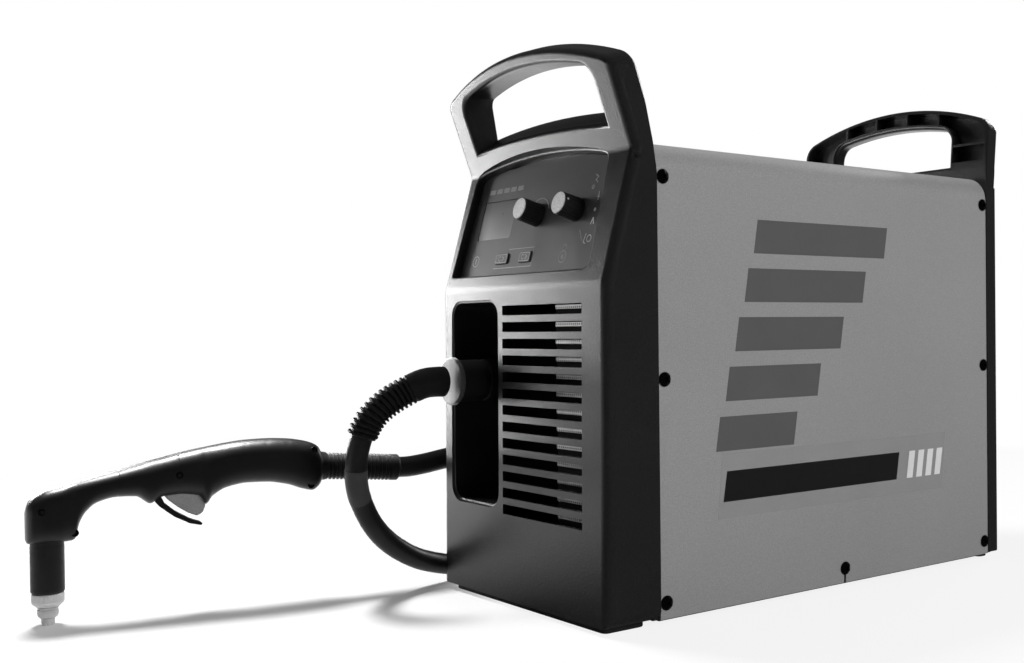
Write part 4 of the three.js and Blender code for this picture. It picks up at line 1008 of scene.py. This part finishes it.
for name, x, w in BUTTONS:
    top = PANEL_OUT + 1.2
    glyph = stroke([(x - w / 2 + 1.4, 24.6), (x + w / 2 - 1.4, 24.6), (x + w / 2 - 1.4, 31.4),
                    (x - w / 2 + 1.4, 31.4),
                    (x - w / 2 + 1.4, 24.6)], 0.45)
    glyph += ring_stroke(x - 2.4, BUTTON_UP, 1.9, 0.6, 40, 320)
    glyph += stroke([(x + 1.5, 26.2), (x + 3.6, BUTTON_UP), (x + 1.5, 29.8)], 0.6)
    make(name + "_mark", *on_panel(glyph, top + 0.02, top + 0.08), DIM_INK, body=name)


def knob(name, x):
    at = ON_SLOPE((x, KNOB_UP, PANEL_OUT + 0.3))

    def grip(t, d):
        inside = clamp((d - 3.2) / 0.8) * clamp((16.9 - d) / 0.8)
        return 1 - 0.035 * inside * (0.5 - 0.5 * math.cos(24 * t)) ** 2

    profile = [(0, -6), (3, -6), (3, -0.1), (9.0, -0.1), (9.8, 0.3), (9.8, 1.8), (9.55, 2.4)]
    profile += [(9.5 - 0.02 * k, 3 + k) for k in range(15)] + [(9.2, 17.6), (8.9, 18.1), (8.6, 18.3),
            (8.6, 18.0), (0, 18.0)]
    body = make(name + "_body", *lathe(profile, SLOPE_OUT, at, 192, grip), KNOB_BLACK, name)
    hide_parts(name)
    cap = [(0, 17.6), (8.5, 17.6), (8.5, 18.5), (8.35, 18.75), (8.0, 18.9), (7.2, 18.82),
           (3.5, 18.7), (0, 18.66)]
    make(name + "_cap", *lathe(cap, SLOPE_OUT, at, 96), KNOB_CAP, name, smooth=50)


knob("adjustment_knob", ADJUSTMENT_X)
knob("mode_knob", MODE_X)
pointer = ON_SLOPE((MODE_X + 8.8, KNOB_UP + 3.0, PANEL_OUT + 16.2))
make("mode_knob_pointer", *lathe([(0, -0.4), (0.8, -0.4), (0.8, 0.35), (0.5, 0.5), (0, 0.55)],
                                 (1, 0.09, 0.32), pointer, 20),
     KNOB_CAP, "mode_knob")

# ---------------------------------------------------------------- torch plug and pocket
PLUG_X, PLUG_Z = -65.5, 178.5
collar = [(12.6, -259.6), (18.4, -259.6), (19.7, -259), (20, -258), (20, -256.6),
          (19.4, -256), (12.6, -256)]
plug_collar = make("torch_plug_collar", *lathe(rounded(collar, 0.5), (0, 1, 0), (PLUG_X, 0, PLUG_Z), 96,
                   lambda t, d: 1 - 0.022 * (0.5 - 0.5 * math.cos(18 * t)) ** 3 if -258.2 < d <
                   -256.4 else 1), PLUG_RING_PAINTED_SHADE)
plug_body = make("torch_plug_body", *lathe(rounded(
    [(0, -256.2), (17.4, -256.2), (17.5, -254), (17.5, -233), (16.8, -232.4), (16.8, -229.6), (17.5, -229),
     (17.5, -192.2), (15.5, -191.8),
     (15.5, -146), (0, -146)], 0.4), (0, 1, 0), (PLUG_X, 0, PLUG_Z), 72), SOCKET_BLACK)
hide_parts("torch_plug")
make("pocket_vent", *prism(fillet([(-58, 85), (-30.3, 85), (-30.3, 104.5), (-58, 104.5)], [0, 0, 0, 3], 4),
                                  [(-206, 0), (-204.6, 0)], ALONG_Y), SCREEN)
make("pocket_vent_lip", *block(-60, -30.3, -212, -204.6, 104.6, 105.6), ZINC)

# ---------------------------------------------------------------- torch
# Along the handle from its head, across it, and up from the floor under the nozzle.
A = math.radians(80)
ON_TORCH = frame_of((-200.7, -538.9, -4), (math.cos(A), math.sin(A), 0),
                    (-math.sin(A), math.cos(A), 0), (0, 0, 1))
# (place along the handle, lower edge, upper edge, half width, squareness) of each section
TORCH_RINGS = [
    (-15, 67, 88, 5, 3), (-13.5, 64.5, 94, 10, 3.4), (-9, 64, 100, 14.2, 3.6), (0, 64, 105, 16.6, 3.6),
    (10, 64, 107.3, 16.4, 3.4), (17, 64.3, 109, 14.2, 3.2), (20, 66, 109.8, 13.4, 3),
    (22.5, 76, 110.4, 13, 2.8), (27, 85, 111.4, 12.8, 2.6), (36, 92.5, 113.4, 12.8, 2.4),
    (50, 95.6, 116.6, 13.2, 2.3), (64, 95, 120, 14, 2.3), (75, 88.5, 122.8, 14.6, 2.3),
    (84, 93, 124.8, 15, 2.3), (98, 94, 128, 15.6, 2.3), (112, 91.5, 130.6, 16.2, 2.3),
    (116.5, 84, 131.3, 16.4, 2.3), (122, 91, 132.2, 16.6, 2.3), (134, 97.5, 134, 16.8, 2.3),
    (150, 100, 135.6, 17, 2.3), (165, 99.6, 135.9, 17, 2.3), (182, 96.5, 135, 16.8, 2.3),
    (196, 91.5, 132.6, 16, 2.4), (203, 90, 130.4, 15, 2.6), (208, 93, 127.4, 13.6, 2.6),
    (211, 98, 122, 11.5, 2.4)]


def monotone(xs, ys):
    """Smooth interpolation that doesn't overshoot."""
    d = [(y1 - y0) / (x1 - x0) for x0, x1, y0, y1 in zip(xs, xs[1:], ys, ys[1:])]
    m = [d[0]] + [0 if a * b <= 0 else 2 * a * b / (a + b) for a, b in zip(d, d[1:])] + [d[-1]]

    def value(x):
        i = max(k for k in range(len(xs) - 1) if xs[k] <= x or k == 0)
        h = xs[i + 1] - xs[i]
        t = clamp((x - xs[i]) / h)
        return (ys[i] * (1 + 2 * t) * (1 - t) ** 2 + m[i] * h * t * (1 - t) ** 2
                + ys[i + 1] * t * t * (3 - 2 * t) + m[i + 1] * h * t * t * (t - 1))
    return value


LOW_AT, TOP_AT, WIDE_AT, SQUARE_AT = [monotone([r[0] for r in TORCH_RINGS], [r[k] for r in TORCH_RINGS])
                                      for k in (1, 2, 3, 4)]


SEAMS = (51, 95.5)


def torch_relief(s, turn):
    """How far the skin is set in: part lines round the handle and slanted grip grooves."""
    seam = sum(0.16 * math.exp(-((s - at) / 0.5) ** 4) for at in SEAMS)
    band = math.exp(-((abs(turn) - 0.95) / 0.3) ** 4)
    grooves = sum(math.exp(-((s - at - 5 * turn) / 1.3) ** 2) for at in (126, 143, 160, 177)) * band
    return seam + 0.12 * grooves


def torch_ring(s, side, n=26):
    low, top, wide, square = LOW_AT(s), TOP_AT(s), WIDE_AT(s), SQUARE_AT(s)
    ring = []
    for i in range(n):
        turn = -math.pi / 2 + math.pi * i / (n - 1)
        inset = torch_relief(s, turn)
        c, v = max(math.cos(turn), 0), math.sin(turn)
        across = (wide - inset) * c ** (2 / square)
        up = ((top - low) / 2 - inset) * math.copysign(abs(v) ** (2 / square), v)
        ring.append(ON_TORCH((s, side * (0.15 + across), (top + low) / 2 + up)))
    return ring


def torch_shell(name, side):
    stations = [-15 + 0.9 * math.sin(math.radians(90 * k / 4)) for k in range(4)]
    s = -14.0
    while s < 211:
        stations.append(s)
        near = min(abs(s - at) for at in SEAMS)
        s += 0.25 if near < 1.2 else (0.9 if s < 25 or s > 195 else 1.5)
    stations.append(211)
    body = make(name + "_skin", *loft([torch_ring(s, side) for s in stations]), shown=False)
    corners = [(76.3, 60), (119.5, 60), (119.5, 100), (76.3, 100)]
    slot = loft([[ON_TORCH((s, y, h)) for s, h in corners] for y in (-6.6, 6.6)])
    combine(body, "DIFFERENCE", slot)
    dress(body, TORCH_PLASTIC, smooth=38)
    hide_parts(name)


torch_shell("torch_shell_left", 1)
torch_shell("torch_shell_right", -1)

TORCH_SIDE = (math.sin(A), -math.cos(A), 0)
for i, (s, h) in enumerate(((-3.6, 89.5), (19.2, 71), (95.5, 110.9), (203.3, 124.8), (200.3, 95.4))):
    low, top, wide, square = LOW_AT(s), TOP_AT(s), WIDE_AT(s), SQUARE_AT(s)
    share = min(abs(h - (top + low) / 2) / ((top - low) / 2), 0.98)
    across = wide * (1 - share ** square) ** (1 / square)
    at = ON_TORCH((s, -(0.15 + across), h))
    profile = [(0, -3), (2.9, -3), (2.9, 0.1), (2.6, 0.35), (1.5, 0.4), (1.35, -0.9), (0, -1.0)]
    make(f"torch_screw_{i + 1}", *lathe(profile, TORCH_SIDE, at, 36), SCREW_BLACK)

ONE_Z = (0, 0, 1)
TIP = ON_TORCH((0.2, 0, 0))
sleeve = make("neck_sleeve_tube", *lathe(rounded([(0, 25.3), (11.4, 25.3), (11.9, 25.9), (12.2, 27.2),
                                                  (12.2, 61.5), (12.05, 62.2), (12.05, 92), (0, 92)], 0.5),
              ONE_Z, TIP, 72), SLEEVE)
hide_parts("neck_sleeve")
cap = make("retaining_cap_body", *lathe(
    [(4.6, 14.6), (8.3, 14.6), (8.6, 14.9), (9.4, 15.7), (11.1, 17.1), (11.5, 17.8), (11.7, 18.8),
     (11.7, 19.2), (11.7, 19.6), (11.7, 23.8),
     (11.7, 24.2), (11.4, 24.9), (4.6, 24.9)], ONE_Z, TIP, 288,
    lambda t, d: 1 - 0.024 * (0.5 - 0.5 * math.cos(36 * t)) ** 4 if 19.5 < d < 23.9 else 1), BRIGHT)
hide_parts("retaining_cap")
shield = make("torch_shield_body", *lathe(rounded(
    [(4.9, 5.8), (5.7, 5.8), (6.7, 6.7), (7.3, 7.6), (7.6, 9.4), (7.6, 12.2), (7.2, 12.6), (7.2, 13.2),
     (7.6, 13.6), (7.6, 14.2), (4.9, 14.2)], 0.2),
    ONE_Z, TIP, 72), TURNED)
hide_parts("torch_shield")
nozzle = make("torch_nozzle_tip", *lathe([(0.8, 0.9), (1.2, 0.05), (4.2, 0.05), (4.8, 0.6), (4.8, 1.8),
                                          (4.85, 2.0), (4.85, 5.6), (4.2, 6), (4.2, 24), (0.8, 24)],
              ONE_Z, TIP, 144, lambda t, d: 1 - 0.16 * (0.5 - 0.5 * math.cos(8 * t)) ** 2
              if d < 1.9 else 1), TURNED)
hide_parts("torch_nozzle")

# Torch strain relief: a cone nut, spiral ribs and a plain end ring.
direction = Vector((68, 0, -5.5)).normalized()
line = [Vector(ON_TORCH(tuple(Vector((204, 0, 110.4)) + direction * (0.3 * k)))) for k in range(251)]


def torch_relief_radius(s, t):
    if s < 11:
        return 13.2 - 0.13 * s
    if s > 68:
        return 11.4 - 0.9 * max(s - 73.6, 0)
    wave = 0.5 + 0.5 * math.cos(2 * math.pi * s / 3.3 - t)
    return 10.0 + 1.4 * clamp((wave - 0.3) / 0.4)


relief = make("torch_strain_relief_ribbed", *sweep(line, torch_relief_radius, 32), RELIEF_RUBBER, smooth=50)
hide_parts("torch_strain_relief")

# ---------------------------------------------------------------- floor, world and lights
FLOOR_HALF, FLOOR_Z = 6000, -4.05
CORNERS = [(x * FLOOR_HALF, y * FLOOR_HALF, FLOOR_Z) for x, y in ((-1, -1), (1, -1), (1, 1), (-1, 1))]
floor = make("floor", CORNERS, [(0, 1, 2, 3)], shown=False)
# White in the camera's view away from the unit, and a plain grey under it that takes its shadows, except
# right of its left front corner, where painted light hides them.
# In reflections it glows, bright on the left and dark on the right: a painted reflection.
ground = Nodes("studio floor", grey(0.48), 0.9, specular=0.0)
glow = ground.add("ShaderNodeEmission", Color=(1, 1, 1, 1), Strength=1.0)
paths = ground.add("ShaderNodeLightPath")
seen = ground.math("MAXIMUM", paths.outputs["Is Camera Ray"], paths.outputs["Is Transmission Ray"])
mirrored = paths.outputs["Is Glossy Ray"]
# Painted reflection: for mirrored rays the glow runs from 1.7 on the left to 0.08 on the right.
side_of = ground.add("ShaderNodeSeparateXYZ")
ground.link(ground.where, side_of.inputs[0])
bright = ground.range(side_of.outputs["X"], -0.4, 0.0, 1.7, 0.08)
dimmed = ground.math("MULTIPLY", mirrored, ground.math("SUBTRACT", bright, 1.0))
ground.link(ground.math("ADD", dimmed, 1.0), glow.inputs["Strength"])
mixer = ground.add("ShaderNodeMixShader")
place = ground.add("ShaderNodeVectorMath", operation="LENGTH")
ground.link(ground.where, place.inputs[0])
share = ground.range(place.outputs["Value"], 0.5, 1.3, 0.12, 1.0)
# Painted light: right of the unit's left front corner the camera sees mostly glow, which hides the unit's
# shadow there.
across = ground.add("ShaderNodeVectorMath", operation="DOT_PRODUCT")
ground.link(ground.where, across.inputs[0])
across.inputs[1].default_value = RIGHT
share = ground.math("MAXIMUM", share, ground.range(across.outputs["Value"], -0.27, -0.2, 0.1, 0.85))
ground.link(ground.math("MAXIMUM", mirrored, ground.math("MULTIPLY", seen, share)), mixer.inputs[0])
ground.link(ground.shader.outputs[0], mixer.inputs[1])
ground.link(glow.outputs[0], mixer.inputs[2])
ground.link(mixer.outputs[0], ground.tree.nodes["Material Output"].inputs["Surface"])
floor.data.materials.append(ground.mat)

world = bpy.data.worlds.new("studio")
scene.world = world
world.use_nodes = True
tree = world.node_tree
light_path = tree.nodes.new("ShaderNodeLightPath")
background = tree.nodes["Background"]
background.inputs["Color"].default_value = (1, 1, 1, 1)
visible = tree.nodes.new("ShaderNodeMath")
visible.operation = "MAXIMUM"
tree.links.new(light_path.outputs["Is Camera Ray"], visible.inputs[0])
tree.links.new(light_path.outputs["Is Transmission Ray"], visible.inputs[1])
strength = tree.nodes.new("ShaderNodeMapRange")
strength.inputs["To Min"].default_value = 0.07
tree.links.new(visible.outputs[0], strength.inputs["Value"])
tree.links.new(strength.outputs["Result"], background.inputs["Strength"])


def softbox(name, at, target, size, power):
    data = bpy.data.lights.new(name, "AREA")
    data.shape, data.size, data.size_y, data.energy = "RECTANGLE", size[0], size[1], power
    lamp = bpy.data.objects.new(name, data)
    scene.collection.objects.link(lamp)
    lamp.location = at
    lamp.rotation_euler = (Vector(target) - Vector(at)).to_track_quat("-Z", "Y").to_euler()
    return lamp


# The first four lamps show only as glare on the pieces, and the last of them only on the torch.
for name, at, target, size, power in (
        ("key", (-1.55, -0.72, 0.52), (-0.2, -0.4, 0.16), (0.4, 0.4), 9),
        ("face_glow", (-0.67, -0.47, 0.25), (-0.06, -0.237, 0.25), (0.08, 0.34), 2.8),
        ("handle_glow", (-0.8, -0.28, 0.66), (-0.1, -0.26, 0.42), (0.1, 0.1), 0.22),
        ("torch_glow", (-0.85, -0.4, 1.9), (-0.3, -0.45, 0.1), (0.4, 0.4), 130)):
    lamp = softbox(name, at, target, size, power)
    lamp.visible_diffuse = lamp.visible_camera = False
torch_glow = lamp
lit_torch = bpy.data.collections.new("lit_torch")
for piece in ("torch_shell_left_skin", "torch_shell_right_skin", "torch_strain_relief_ribbed"):
    lit_torch.objects.link(bpy.data.objects[piece])
torch_glow.light_linking.receiver_collection = lit_torch
softbox("top", (-0.85, -0.4, 1.9), (-0.1, -0.2, 0), (0.4, 0.4), 84).visible_glossy = False
softbox("back", (-0.4, 2.4, 1.3), (0, 0.2, 0.2), (0.8, 0.8), 22)
softbox("side", (2.6, 0.2, 1.0), (0.1, 0, 0.2), (1.2, 1.2), 92).visible_glossy = False
